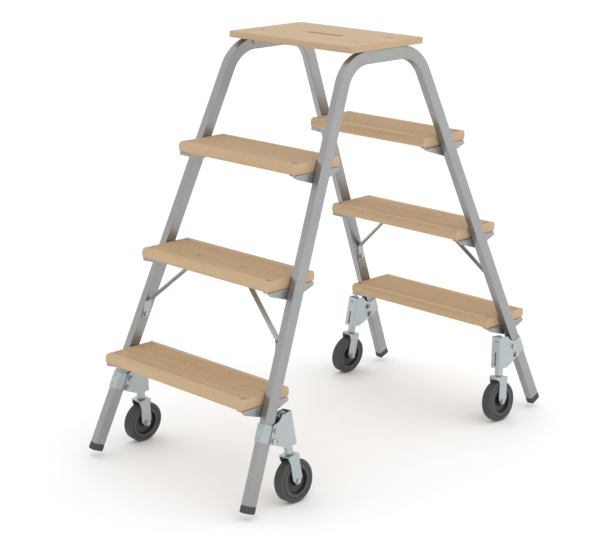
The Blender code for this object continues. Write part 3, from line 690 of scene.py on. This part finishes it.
def inset(outline, amount):
    """The outline moved inwards by an amount, square to its edges."""
    moved = []
    count = len(outline)
    for i, point in enumerate(outline):
        before = Vector(point) - Vector(outline[i - 1])
        after = Vector(outline[(i + 1) % count]) - Vector(point)
        if before.length < 1e-7 or after.length < 1e-7:
            before = after = before if after.length < 1e-7 else after
        first = Vector((-before.y, before.x)).normalized()
        second = Vector((-after.y, after.x)).normalized()
        normal = (first + second).normalized()
        reach = amount / max(0.4, normal.dot(first))
        moved.append((point[0] - normal.x * reach, point[1] - normal.y * reach))
    return moved


def tread(end_name, end, number):
    """Grooved board with its end screws and, on the middle one, the strut screws."""
    node = f"tread_{end_name}_{number}"
    low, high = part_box(node)
    centre = (low.y + high.y) / 2
    outline = tread_outline(high.z - low.z, high.y - low.y)
    ease = 0.0005
    eased = inset(outline, -ease)
    sections = []
    for x, ring in ((low.x, eased), (low.x + ease, outline), (high.x - ease, outline),
                    (high.x, eased)):
        sections.append([Vector((x, centre + y, high.z + z)) for y, z in ring])
    screws = []
    x = high.x - TREAD_SCREW_INSET
    for sx in (1, -1):
        for sy in (1, -1):
            screws.append((sx * x, centre + sy * TREAD_SCREW_Y, BRACKET_SHEET))
    if number == 2:
        for sx in (1, -1):
            screws.append((sx * STRUT_SCREW[0], end * STRUT_SCREW[1], STRUT_SHEET))
    rods = upright_rods([(px, py) for px, py, _ in screws], BOARD_HOLE, low.z - 0.01, high.z + 0.01)
    board = carved(lofted(sections), ("DIFFERENCE", rods))
    piece(f"step_{end_name}_{number}", board, "tread_wood", "ladder", [node])
    for i, (px, py, sheet) in enumerate(screws):
        screw(f"step_screw_{end_name}_{number}_{i + 1}", px, py, high.z, low.z - GAP - sheet)


# ---------------------------------------------------------- fasteners

def round_ring(radius, height, sides=24):
    return [(x, y, height) for x, y in circle(radius, sides)]


def round_rings(profile, sides=24):
    """Rings for a profile of (radius, height)."""
    return [round_ring(radius, height, sides) for radius, height in profile]


def dome_rings(flat, slope, base, rise, places):
    """Rings of a low dome from its base up to a flat top, at places given in degrees."""
    turns = [math.radians(degrees) for degrees in places]
    return round_rings([(flat + slope * math.cos(t), base + rise * math.sin(t)) for t in turns])


def hex_rings(radius, low, high, turned_low):
    """Rings (points with a height) of a hexagon with its corners turned down at the top, and
    also at the bottom if turned_low is set."""
    face = radius * math.cos(math.pi / 6) * 0.97
    outline = [(x, y, (math.hypot(x, y) - face) * 0.55) for x, y in hexagon(radius)]
    if turned_low:
        rings = [round_ring(face, low), [(x, y, low + drop) for x, y, drop in outline]]
    else:
        rings = [[(x, y, low) for x, y, _ in outline]]
    return rings + [[(x, y, high - drop) for x, y, drop in outline], round_ring(face, high)]


def threaded(radius, low, high):
    """Rings of a shank with ridges like a thread, from low to high."""
    count = max(1, int(abs(high - low) / THREAD_PITCH))
    step = (high - low) / count
    rings = []
    for i in range(count):
        rings.append(round_ring(radius - 0.0003, low + step * (i + 0.05)))
        rings.append(round_ring(radius, low + step * (i + 0.5)))
    rings.append(round_ring(radius - 0.0003, high))
    return rings


def screw(name, x, y, seat, under):
    """Low-headed screw with a hexagon socket, from its seat on a board to a nut below."""
    head_radius = SCREW_HEAD_RADIUS
    shank = BOARD_HOLE - GAP
    tip = under - GAP - SCREW_NUT_HIGH - 0.0028
    rings = [round_ring(shank - 0.0006, tip)]
    rings += threaded(shank, tip + 0.0006, under - GAP - SCREW_NUT_HIGH)
    rings += hex_rings(SCREW_NUT_RADIUS, under - GAP - SCREW_NUT_HIGH, under - GAP, True)
    rings += round_rings(((shank, under - GAP), (shank, seat + 0.0001),
                          (head_radius - 0.0004, seat + 0.0001), (head_radius, seat + 0.0004)))
    rings += dome_rings(0.0026, head_radius - 0.0026, seat + 0.0004, SCREW_HEAD_HIGH - 0.0004,
                        (22, 42, 60, 75))
    top = seat + SCREW_HEAD_HIGH
    rings.append(round_ring(0.0028, top))
    for radius, depth in ((0.0025, 0.0003), (0.0024, 0.0012)):
        rings.append([(px, py, top - depth) for px, py in hexagon(radius)])
    body = skinned(rings, lambda px, py, z: Vector((x + px, y + py, z)))
    piece(name, body, "screw", "ladder")


def bolt_rings(head_face, nut_face, head_radius, head_high):
    """Rings of a hexagon bolt along +Z: tip, nut, shank, washer face and chamfered head."""
    shank = BOLT_RADIUS
    nut_low = nut_face - 0.0055
    rings = [round_ring(shank - 0.0008, nut_face - 0.0075)]
    rings += threaded(shank, nut_face - 0.0070, nut_low)
    rings += hex_rings(NUT_RADIUS, nut_low, nut_face, True)
    washer = head_radius * 0.86
    top = head_face + head_high
    rings += round_rings(((shank, nut_face), (shank, head_face), (washer, head_face),
                          (washer, head_face + 0.0003)))
    rings += hex_rings(head_radius, head_face + 0.0003, top, False)
    return rings + round_rings(((head_radius * 0.55, top), (head_radius * 0.50, top - 0.0003)))


def cross_bolt(name, node, body, place, x, z, outer, face, head_radius):
    """Hexagon bolt along a castor's axle direction: head outside, nut inside the ladder."""
    rings = bolt_rings(face + GAP, -face - GAP, head_radius, 0.0032)
    bolt = skinned(rings, lambda px, py, h: Vector((x + px, outer * h, z + py)))
    piece(name, bolt, "bolt", body, [node], place)


def frame_fastener(name, side, end, y, depth, rings):
    """A fastener on a side frame's inner face; its rings rise away from the tube."""
    face = TUBE_OFFSET - TUBE_THICK / 2
    body = skinned(rings, lambda px, py, h: frame_point(side, face - h, end * (y + px), depth + py))
    piece(name, body, "bolt", "ladder")


def strut_bolt(label, side, end):
    """Hexagon bolt through the strut's lower tab into the tube."""
    seat = STRUT_SHEET + 2 * GAP
    radius = 0.0056
    shank = 0.0030
    rings = [round_ring(shank - 0.0006, -0.0085)] + threaded(shank, -0.0080, -0.0012)
    washer = radius * 1.05
    rings += round_rings(((shank, seat), (washer, seat), (washer, seat + 0.0006),
                          (radius * 0.86, seat + 0.0007)))
    rings += hex_rings(radius, seat + 0.0008, seat + 0.0042, False)
    rings += round_rings(((radius * 0.5, seat + 0.0042), (radius * 0.45, seat + 0.0039)))
    frame_fastener("strut_bolt_" + label, side, end, *STRUT_BOLT, rings)


def shoe_rivet(label, side, end):
    """Domed rivet that holds a shoe's plug in the tube."""
    along = LEG_END - RIVET_ABOVE_SHOE
    y = LEG_START_Y + along * math.sin(LEG_ANGLE)
    depth = LEG_START_DEPTH + along * math.cos(LEG_ANGLE)
    rings = round_rings(((0.0019, -0.0040), (0.0021, -0.0036), (0.0021, 0.0001),
                         (0.0034, 0.0001), (0.0035, 0.0004)))
    rings += dome_rings(0.0010, 0.0025, 0.0004, 0.0009, (30, 55, 75))
    rings += round_rings(((0.0010, 0.0013), (0.0008, 0.0008)))
    frame_fastener("shoe_rivet_" + label, side, end, y, depth, rings)


# -------------------------------------------------------------- struts

def strut_flats(side, end):
    """Corner points of a strut's upper surface, and the direction of each flat's face."""
    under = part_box("tread_rear_2")[0].z - GAP
    inner = TUBE_OFFSET - TUBE_THICK / 2 - GAP
    y = end * STRUT_SCREW[1]
    start = Vector((side * (STRUT_SCREW[0] - 0.012), y, under))
    bend = Vector((side * (STRUT_SCREW[0] + STRUT_FIRST_BEND), y, under))
    low = frame_point(side, inner, end * STRUT_BEND[0], STRUT_BEND[1])
    bolt = frame_point(side, inner, end * STRUT_BOLT[0], STRUT_BOLT[1])
    finish = bolt + (bolt - low).normalized() * 0.0075
    inner_normal = Vector((side * math.cos(SPLAY), 0, math.sin(SPLAY)))
    run = (low - bend).normalized()
    across = Vector((0, 1, 0))
    run_across = (across - run * across.dot(run)).normalized()
    run_face = run_across.cross(run)
    if run_face.z < 0:
        run_face = -run_face
    tab_across = inner_normal.cross(finish - low).normalized()
    if tab_across.y < 0:
        tab_across = -tab_across
    corners = (start, bend, low, finish)
    faces = (Vector((0, 0, 1)), run_face, inner_normal)
    acrosses = (across, run_across, tab_across)
    return corners, faces, acrosses


def strut_section(fold, cut):
    """Section of a strut: flat where fold is 0, an angle with its ridge up where it is 1.
    The strip is narrower by cut on each edge."""
    turn = STRUT_FOLD * fold
    ridge = STRUT_RIDGE * fold
    half = STRUT_HALF - cut
    bend = 0.0032
    steps = 4
    folded = fold > 0.01
    upper = []
    lower = []
    for i in range(steps + 1):
        t = i / steps
        angle = turn * t
        u = bend * math.sin(angle) if folded else bend * t
        v = ridge - bend * (1 - math.cos(angle))
        upper.append((u, v))
        lower.append((u - STRUT_SHEET * math.sin(angle), v - STRUT_SHEET * math.cos(angle)))
    rest = half - (bend * turn if folded else bend)
    tip_u = u + rest * math.cos(turn)
    tip_v = v - rest * math.sin(turn)
    upper.append((tip_u, tip_v))
    lower.append((tip_u - STRUT_SHEET * math.sin(turn), tip_v - STRUT_SHEET * math.cos(turn)))
    left = [(-u, v) for u, v in lower[1:]] + [(-u, v) for u, v in reversed(upper[1:])]
    return upper + list(reversed(lower)) + left


def strut(label, side, end):
    """Zinc strip from the middle step to the leg, folded to an angle between its flat ends."""
    corners, faces, acrosses = strut_flats(side, end)
    turn = 0.0026
    stations = []

    def corner_round(index):
        corner = corners[index]
        before = (corner - corners[index - 1]).normalized()
        after = (corners[index + 1] - corner).normalized()
        for i in range(6):
            t = i / 5
            point = ((corner - before * turn) * (1 - t) ** 2 + corner * 2 * t * (1 - t)
                     + (corner + after * turn) * t * t)
            face = faces[index - 1].lerp(faces[index], t).normalized()
            across = acrosses[index - 1].lerp(acrosses[index], t).normalized()
            stations.append((point, face, across, 0.0, 0.0))

    corner_cut = 0.0022

    def tab_end(corner, inward, flat, shares):
        for t in shares:
            point = corner + inward * corner_cut * t
            cut = rounded_end(corner_cut * t, corner_cut)
            stations.append((point, faces[flat], acrosses[flat], 0.0, cut))

    rises = (0.0, 0.12, 0.5, 0.88, 1.0)
    eases = (0.0, 0.15, 0.45, 1.0)
    first, along, last = ((corners[i + 1] - corners[i]).normalized() for i in range(3))
    tab_end(corners[0], first, 0, eases)
    corner_round(1)
    folding = [(corners[1] + along * (0.0030 + 0.0040 * i / 4), fold)
               for i, fold in enumerate(rises)]
    folding += [(corners[2] - along * (0.0040 + 0.0040 * (1 - i / 4)), fold)
                for i, fold in enumerate(reversed(rises))]
    for point, fold in folding:
        stations.append((point, faces[1], acrosses[1], fold, 0.0))
    corner_round(2)
    tab_end(corners[3], -last, 2, reversed(eases))
    sections = []
    for point, face, across, fold, cut in stations:
        section = strut_section(fold, cut)
        sections.append([point + across * u * side + face * v for u, v in section])
    bm = lofted(sections)
    holes = bmesh.new()
    screw_hole = circle(0.0027, 20, (side * STRUT_SCREW[0], end * STRUT_SCREW[1]))
    loft(holes, [at_height(screw_hole, corners[0].z + rise) for rise in (-0.01, 0.01)])
    inner = TUBE_OFFSET - TUBE_THICK / 2
    loft(holes, [[frame_point(side, inner + out, py, pd)
                  for py, pd in circle(0.0033, 20, (end * STRUT_BOLT[0], STRUT_BOLT[1]))]
                 for out in (-0.008, 0.002)])
    piece("brace_" + label, carved(bm, ("DIFFERENCE", holes)), "zinc", "ladder",
          ["strut_" + label], edge=0.00025)
    strut_bolt(label, side, end)


# -------------------------------------------------------------- castors

def prism(outline, low, high):
    """Outline of castor coordinates (x, z) extruded along the axle from low to high."""
    return lofted([[Vector((x, y, z)) for x, z in outline] for y in (low, high)])


def housing_outline():
    """Side view of the spring housing, in castor coordinates."""
    low_x = castor_from_leg(CLAMP_LOW, -0.009)
    stop = Vector(castor_from_leg(0.851, -0.009))
    start = Vector((0.0139, HOUSING_HIGH))
    chord = stop - start
    sag = Vector((-chord.y, chord.x)).normalized() * -0.0045
    notch = []
    steps = 14
    for i in range(steps + 1):
        t = i / steps
        notch.append(tuple(stop.lerp(start, t) + sag * 4 * t * (1 - t)))
    return [(HOUSING_WEB, HOUSING_LOW), (0.0128, HOUSING_LOW), low_x] + notch + [
        (HOUSING_WEB, HOUSING_HIGH)]


def position_of(*coordinates):
    return Vector(coordinates)


def turned(profile, sides=32):
    """A solid turned about the stem from a profile of (radius, height)."""
    return skinned(round_rings(profile, sides), position_of)


def round_folds(bm, axis, level, radius):
    """Round a prism's edges in the plane at a level of an axis that run square to the axle."""
    edges = []
    for edge in bm.edges:
        first, last = (vert.co for vert in edge.verts)
        on_plane = all(abs(co[axis] - level) < 1e-5 for co in (first, last))
        if on_plane and abs(first.y - last.y) < 1e-5:
            edges.append(edge)
    bmesh.ops.bevel(bm, geom=edges, offset=radius, segments=6, affect="EDGES", profile=0.5)


def merged(*parts):
    """Several bodies in one bmesh."""
    whole = bmesh.new()
    for part in parts:
        mesh = bpy.data.meshes.new("scratch")
        part.to_mesh(mesh)
        part.free()
        whole.from_mesh(mesh)
        bpy.data.meshes.remove(mesh)
    bmesh.ops.recalc_face_normals(whole, faces=whole.faces)
    return whole


def arc_slot():
    """Slot for the lower clamp bolt, curved round the upper one, in castor coordinates."""
    pivot = Vector(castor_from_leg(CLAMP_BOLTS[0], CLAMP_BOLT_OUT))
    lower = Vector(castor_from_leg(CLAMP_BOLTS[1], CLAMP_BOLT_OUT))
    arm = lower - pivot
    radius = BOLT_RADIUS + 2 * GAP
    first = math.degrees(math.atan2(arm.y, arm.x))
    sweep = -math.degrees(0.0070 / arm.length)
    outside = arc(pivot, arm.length + radius, first, first + sweep, 6)
    inside = arc(pivot, arm.length - radius, first + sweep, first, 6)
    turn = math.radians(first + sweep)
    last = pivot + Vector((math.cos(turn), math.sin(turn))) * arm.length
    cap_far = arc(last, radius, first + sweep, first + sweep - 180, 12)[1:-1]
    cap_near = arc(lower, radius, first + 180, first, 12)[1:-1]
    return outside + cap_far + inside + cap_near


def spring_housing(label, place):
    """U channel pressed from sheet, with guide plate, plug, web slot and bolt holes."""
    web = HOUSING_WEB + HOUSING_SHEET
    inside = HOUSING_HALF - HOUSING_SHEET
    front = 0.0122
    bm = prism(housing_outline(), -HOUSING_HALF, HOUSING_HALF)
    round_folds(bm, 0, HOUSING_WEB, HOUSING_BEND)
    plug_low, plug_high = PLUG
    room = ((web, GUIDE_TOP), (front, GUIDE_TOP), (front, 0.05), (0.09, 0.05), (0.09, 0.20),
            (web, 0.20), (web, plug_high), (front, plug_high), (front, plug_low), (web, plug_low))
    slot_low, slot_high = WEB_SLOT
    middle = (slot_low + slot_high) / 2
    slot = round_rect(0.005, slot_high - slot_low, 0.00249, 6)
    web_cuts = []
    for outline in (circle(0.0024, 20, (0.0, WEB_HOLE)), [(y, middle + z) for y, z in slot]):
        web_cuts.append(lofted([[Vector((x, y, z)) for y, z in outline]
                                for x in (web - 0.005, web + 0.002)]))
    bolt_x, bolt_z = castor_from_leg(CLAMP_BOLTS[0], CLAMP_BOLT_OUT)
    bolt_cut = prism(circle(BOLT_RADIUS + GAP, 24, (bolt_x, bolt_z)), -0.03, 0.03)
    stem_bore = turned(((STEM_RADIUS + GAP, 0.080), (STEM_RADIUS + GAP, GUIDE_TOP + 0.002)))
    rod_bore = turned(((ROD_RADIUS + GAP, plug_low - 0.002), (ROD_RADIUS + GAP, plug_high + 0.002)))
    holes = merged(*web_cuts, bolt_cut, prism(arc_slot(), -0.03, 0.03), stem_bore, rod_bore)
    body = carved(bm, ("DIFFERENCE", prism(room, -inside, inside)), ("DIFFERENCE", holes))
    piece("spring_case_" + label, body, "zinc", "ladder", ["spring_housing_" + label],
          place, edge=0.0003)


def clamp_band(label, side, end, place):
    """Saddle bent round the leg's outward face and both sides, with two set screws."""
    across_in = TUBE_WIDE / 2 + GAP
    across_out = across_in + CLAMP_SHEET + 0.0004
    half_in = TUBE_THICK / 2 + GAP
    half_out = half_in + CLAMP_SHEET
    ear = -0.0280
    bend = 0.0030
    fold = bend - CLAMP_SHEET
    outline = [(ear, -half_out)]
    outline += arc((across_out - bend, bend - half_out), bend, -90, 0, 6)
    outline += arc((across_out - bend, half_out - bend), bend, 0, 90, 6)
    outline += [(ear, half_out), (ear, half_in)]
    outline += arc((across_in - fold, half_in - fold), fold, 90, 0, 4)
    outline += arc((across_in - fold, fold - half_in), fold, 0, -90, 4)
    outline += [(ear, -half_in)]
    sections = []
    for along in (CLAMP_HIGH, CLAMP_LOW - GAP):
        sections.append([leg_point(side, end, along, across, TUBE_OFFSET + out)
                         for across, out in outline])
    holes = []
    for along in CLAMP_BOLTS:
        x, z = castor_from_leg(along, CLAMP_BOLT_OUT)
        rod = prism(circle(BOLT_RADIUS + GAP, 24, (x, z)), -0.03, 0.03)
        rod.transform(place)
        holes.append(rod)
    for along in CLAMP_BOLTS:
        holes.append(lofted([[leg_point(side, end, along + a, across, TUBE_OFFSET + o)
                              for a, o in circle(0.0020, 20)]
                             for across in (across_in - 0.002, across_out + 0.002)]))
    band = carved(lofted(sections), ("DIFFERENCE", merged(*holes)))
    piece("clamp_saddle_" + label, band, "zinc", "ladder", ["clamp_band_" + label], edge=0.00022)
    face = across_out - 0.0006
    rings = round_rings(((0.0017, across_in + 0.0001), (0.0017, face - 0.0002), (0.0015, face),
                         (0.0009, face), (0.0009, face - 0.0009)), 20)
    for i, bolt in enumerate(CLAMP_BOLTS):
        set_screw = skinned(rings, lambda px, py, h: leg_point(side, end, bolt + px, h,
                                                               TUBE_OFFSET + py))
        piece(f"set_screw_{i + 1}_{label}", set_screw, "bolt", "ladder")


def castor_stem(label, place):
    """Plunger with a seat ring at its foot, a chamfered shoulder, and its retaining nut."""
    shoulder = GUIDE_TOP + 2 * GAP
    nut_low = PLUG[1] + GAP
    nut_high = nut_low + 0.0058
    foot = FORK_TOP + GAP
    stem_profile = ((-0.0012, foot), (-0.0014, foot + 0.0002), (-0.0014, foot + 0.0016),
                    (-0.0005, foot + 0.0019), (0.0, foot + 0.0026),
                    (0.0, shoulder - 0.0008), (-0.0008, shoulder))
    bm = turned([(STEM_RADIUS + step, height) for step, height in stem_profile], 48)
    washer = NUT_RADIUS * 0.9
    rod = round_rings(((ROD_RADIUS, shoulder - 0.001), (ROD_RADIUS, nut_low - 0.0004),
                       (washer, nut_low - 0.0004), (washer, nut_low)))
    rod += hex_rings(NUT_RADIUS, nut_low, nut_high, True)
    rod += threaded(ROD_RADIUS, nut_high, nut_high + 0.0022)
    rod += [round_ring(ROD_RADIUS - 0.0009, nut_high + 0.0026)]
    bm = carved(bm, ("UNION", skinned(rod, position_of)))
    piece("plunger_" + label, bm, "zinc", "castor_" + label, ["castor_stem_" + label], place)


def coil_spring(label, place):
    """Coil spring round the rod, with closed ends, built at one fixed length."""
    wire = WIRE_RADIUS
    turns = COIL_TURNS
    low = GUIDE_TOP + 3 * GAP + wire
    high = PLUG[0] - GAP - wire
    steps = 24
    dead = 1.0
    closed = 2 * wire * 1.02
    sections = []
    for i in range(turns * steps + 1):
        t = i / steps
        live = min(max(t - dead, 0.0), turns - 2 * dead) / (turns - 2 * dead)
        start = closed * min(t, dead)
        finish = closed * max(t - (turns - dead), 0.0)
        z = low + start + (high - low - 2 * closed * dead) * live + finish
        angle = 2 * math.pi * t
        radial = Vector((math.cos(angle), math.sin(angle), 0.0))
        centre = radial * COIL_RADIUS + Vector((0, 0, z))
        sections.append([centre + radial * u + Vector((0, 0, v)) for u, v in circle(wire, 8)])
    spring = piece("spring_" + label, lofted(sections), "spring", "ladder",
                   ["coil_spring_" + label], place)
    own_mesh(spring)


def fork_outline():
    """Side view of the fork: narrow and round at the axle, flaring out under its top plate."""
    low = arc((0.0, 0.0), 0.0080, 217, 323, 16)
    right = [(0.0138, 0.0052), (0.0144, 0.0076), (0.0145, 0.0110), (0.0138, 0.0420),
             (0.0139, 0.0446), (0.0143, 0.0468), (0.0156, 0.0508), (0.0162, 0.0534),
             (0.0163, 0.0550), (0.0163, FORK_TOP - 0.0024)]
    right += arc((0.0139, FORK_TOP - 0.0024), 0.0024, 0, 90, 5)[1:]
    return low + right + [(-x, z) for x, z in reversed(right)]


def fold_rib(x, hand):
    """A half-round rib over one of the fork's folds, tapering into the sheet at both ends."""
    path = [(FORK_HALF - 0.0074, FORK_TOP - 0.0020), (FORK_HALF - 0.0062, FORK_TOP - 0.0015),
            (FORK_HALF - 0.0048, FORK_TOP - 0.0011)]
    path += arc((FORK_HALF - FORK_BEND, FORK_TOP - FORK_BEND), FORK_BEND - 0.0010, 90, 0, 8)
    path += [(FORK_HALF - 0.0011, FORK_TOP - 0.0070), (FORK_HALF - 0.0015, FORK_TOP - 0.0094),
             (FORK_HALF - 0.0020, FORK_TOP - 0.0112)]
    rings = []
    for i, (y, z) in enumerate(path):
        before = path[max(i - 1, 0)]
        after = path[min(i + 1, len(path) - 1)]
        step = Vector((after[0] - before[0], after[1] - before[1])).normalized()
        from_end = min(i, len(path) - 1 - i)
        thick = RIB_RADIUS * (0.86, 0.95, 1.0)[min(from_end, 2)]
        rings.append([Vector((x + u, hand * (y + step.y * v), z - step.x * v))
                      for u, v in circle(thick, 16)])
    return lofted(rings)


def fork(label, place):
    """Pressed U-shaped fork with stiffening ribs over its folds."""
    bm = prism(fork_outline(), -FORK_HALF, FORK_HALF)
    round_folds(bm, 2, FORK_TOP, FORK_BEND)
    inside = FORK_HALF - FORK_SHEET
    top = FORK_TOP - FORK_SHEET - 0.0005
    fold = 0.0010
    room = [(-inside, -0.03), (inside, -0.03)] + arc((inside - fold, top - fold), fold, 0, 90, 4)
    room += arc((fold - inside, top - fold), fold, 90, 180, 4)
    cut = lofted([[Vector((x, y, z)) for y, z in room] for x in (-0.03, 0.03)])
    ribs = [fold_rib(x, hand) for hand in (-1, 1) for x in (-RIB_X, RIB_X)]
    hole = prism(circle(BOLT_RADIUS + GAP, 24), -0.03, 0.03)
    body = carved(bm, ("UNION", merged(*ribs)), ("DIFFERENCE", cut), ("DIFFERENCE", hole))
    piece("wheel_fork_" + label, body, "zinc", "castor_" + label, ["fork_" + label],
          place, edge=0.00025)


def wheel_rings(profile, sides=96):
    """Rings round the axle for a closed profile of (radius, width)."""
    rings = []
    for i in range(sides):
        t = 2 * math.pi * i / sides
        rings.append([Vector((r * math.cos(t), h, r * math.sin(t))) for r, h in profile])
    return rings


def tyre_profile():
    """Section of the tyre: round shoulders, and two line grooves beside the middle rib."""
    half = WHEEL_HALF_WIDTH
    crown = WHEEL_RADIUS
    ease = WHEEL_SHOULDER
    side = [(crown, 0.0), (crown, 0.0032), (crown - 0.0007, 0.0035), (crown - 0.0007, 0.0042),
            (crown - 0.0001, 0.0045)]
    for degrees in range(0, 91, 15):
        t = math.radians(degrees)
        side.append((crown - ease + ease * math.cos(t), half - ease + ease * math.sin(t)))
    side += [(RIM_RADIUS + 0.0011, half - 0.0001), (RIM_RADIUS + 0.0004, half - 0.0009),
             (RIM_RADIUS, half - 0.0016), (RIM_RADIUS, 0.0)]
    return side + [(r, -h) for r, h in reversed(side[1:-1])]


def centre_profile():
    """Section of the wheel's centre: side ring, sloping wall, floor with a step, and hub.
    The third number is a painted shade level: 1 keeps the plastic's own colour, and lower values
    paint shade into recesses and walls."""
    half = WHEEL_HALF_WIDTH
    rim = RIM_RADIUS - GAP
    bore = BOLT_RADIUS + 0.0002
    side = [(rim, half - 0.0017, 0.5), (rim - 0.0008, half - 0.0004, 1.0),
            (0.0309, half - 0.0004, 1.0), (0.0302, half - 0.0008, 0.8),
            (0.0298, half - 0.0018, 0.1), (0.0276, 0.0060, 0.0), (0.0272, 0.0051, 0.1),
            (0.0262, 0.0048, 0.75), (0.0206, 0.0046, 0.8), (0.0201, 0.0040, 0.5),
            (0.0194, 0.0039, 0.8), (0.0138, 0.0038, 0.7), (0.0130, 0.0032, 0.1),
            (0.0126, 0.0016, 0.0), (0.0092, 0.0014, 0.0), (0.0086, 0.0020, 0.1),
            (0.0084, half - 0.0024, 0.5), (0.0078, half - 0.0016, 0.8),
            (0.0066, half - 0.0015, 0.8), (0.0064, half, 1.0),
            (bore + 0.0006, half + 0.0001, 1.0), (bore, half - 0.0005, 0.5)]
    return side + [(r, -h, painted_lit_level) for r, h, painted_lit_level in reversed(side)]


def wheel(label, place):
    body = "wheel_" + label
    piece("tyre_band_" + label, lofted(wheel_rings(tyre_profile()), close=True), "tyre", body,
          ["tyre_" + label], place)
    profile = centre_profile()
    centre = lofted(wheel_rings([(r, h) for r, h, _ in profile]), close=True)
    # Each vertex gets its profile point's painted shade level: low in recesses and on walls, 1 on
    # open faces.
    layer = centre.verts.layers.float.new("painted_lit_level")
    for i, vert in enumerate(centre.verts):
        vert[layer] = profile[i % len(profile)][2]
    piece("wheel_hub_" + label, centre, "wheel_plastic", body, ["wheel_centre_" + label], place)


def castor(label, side, end):
    """All the pieces of one castor."""
    place, outer = castor_place(label)
    spring_housing(label, place)
    clamp_band(label, side, end, place)
    castor_stem(label, place)
    coil_spring(label, place)
    fork(label, place)
    wheel(label, place)
    cross_bolt("axle_bolt_" + label, "axle_" + label, "castor_" + label, place, 0.0, 0.0, outer,
               FORK_HALF, AXLE_HEAD_RADIUS)
    for level, along in zip(("upper", "lower"), CLAMP_BOLTS):
        x, z = castor_from_leg(along, CLAMP_BOLT_OUT)
        cross_bolt(f"clamp_{level}_{label}", f"clamp_bolt_{level}_{label}", "ladder", place, x, z,
                   outer, HOUSING_HALF, BOLT_HEAD_RADIUS)


# ------------------------------------------------------- light and camera

def studio():
    """Pale floor, and soft light from all round that is a little stronger from behind."""
    scene = bpy.context.scene
    scene.view_settings.view_transform = "Standard"
    world = bpy.data.worlds.new("studio")
    world.use_nodes = True
    tree = world.node_tree
    direction = add_node(tree, "ShaderNodeTexCoord").outputs["Generated"]
    lean = add_node(tree, "ShaderNodeVectorMath", {0: direction, 1: (0.03, 0.16, 0.0)},
                    operation="DOT_PRODUCT").outputs["Value"]
    strength = ranged(tree, lean, -1.0, 1.0, 0.10, 2.10)
    tree.links.new(strength, tree.nodes["Background"].inputs["Strength"])
    tree.nodes["Background"].inputs["Color"].default_value = (1.0, 1.0, 1.0, 1.0)
    scene.world = world
    bm = bmesh.new()
    bmesh.ops.create_grid(bm, x_segments=1, y_segments=1, size=14.0)
    mesh = bpy.data.meshes.new("floor")
    bm.to_mesh(mesh)
    bm.free()
    mat = bpy.data.materials.new("floor")
    mat.use_nodes = True
    shader = mat.node_tree.nodes["Principled BSDF"]
    shader.inputs["Base Color"].default_value = (0.98, 0.98, 0.98, 1.0)
    shader.inputs["Roughness"].default_value = 0.9
    shader.inputs["Specular IOR Level"].default_value = 0.1
    mesh.materials.append(mat)
    floor = bpy.data.objects.new("floor", mesh)
    scene.collection.objects.link(floor)
    light = bpy.data.lights.new("soft_box", "AREA")
    light.shape = "SQUARE"
    light.size = 5.0
    light.energy = 18.0
    soft_box = bpy.data.objects.new("soft_box", light)
    place = Vector((2.4, 3.6, 5.2))
    aim = Vector((0.0, 0.0, 0.4)) - place
    soft_box.location = place
    soft_box.rotation_euler = aim.to_track_quat("-Z", "Y").to_euler()
    scene.collection.objects.link(soft_box)


def camera():
    data = bpy.data.cameras.new("camera")
    data.lens = 99.532
    data.sensor_width = 36.0
    data.clip_end = 60.0
    obj = bpy.data.objects.new("camera", data)
    obj.location = (2.6861, -2.7640, 0.5043 + TOP_Z)
    obj.rotation_euler = (math.radians(90 - 15.563), 0.0, math.radians(45.035))
    bpy.context.scene.collection.objects.link(obj)
    bpy.context.scene.camera = obj


camera()
studio()
for side_name, side in SIDES.items():
    side_tube(side_name, side)
    brackets(side_name, side)
platform_board()
for end_name, end in ENDS.items():
    for number in (1, 2, 3):
        tread(end_name, end, number)
    for side_name, side in SIDES.items():
        label = f"{end_name}_{side_name}"
        strut(label, side, end)
        rubber_shoe(label, side, end)
        shoe_rivet(label, side, end)
        castor(label, side, end)
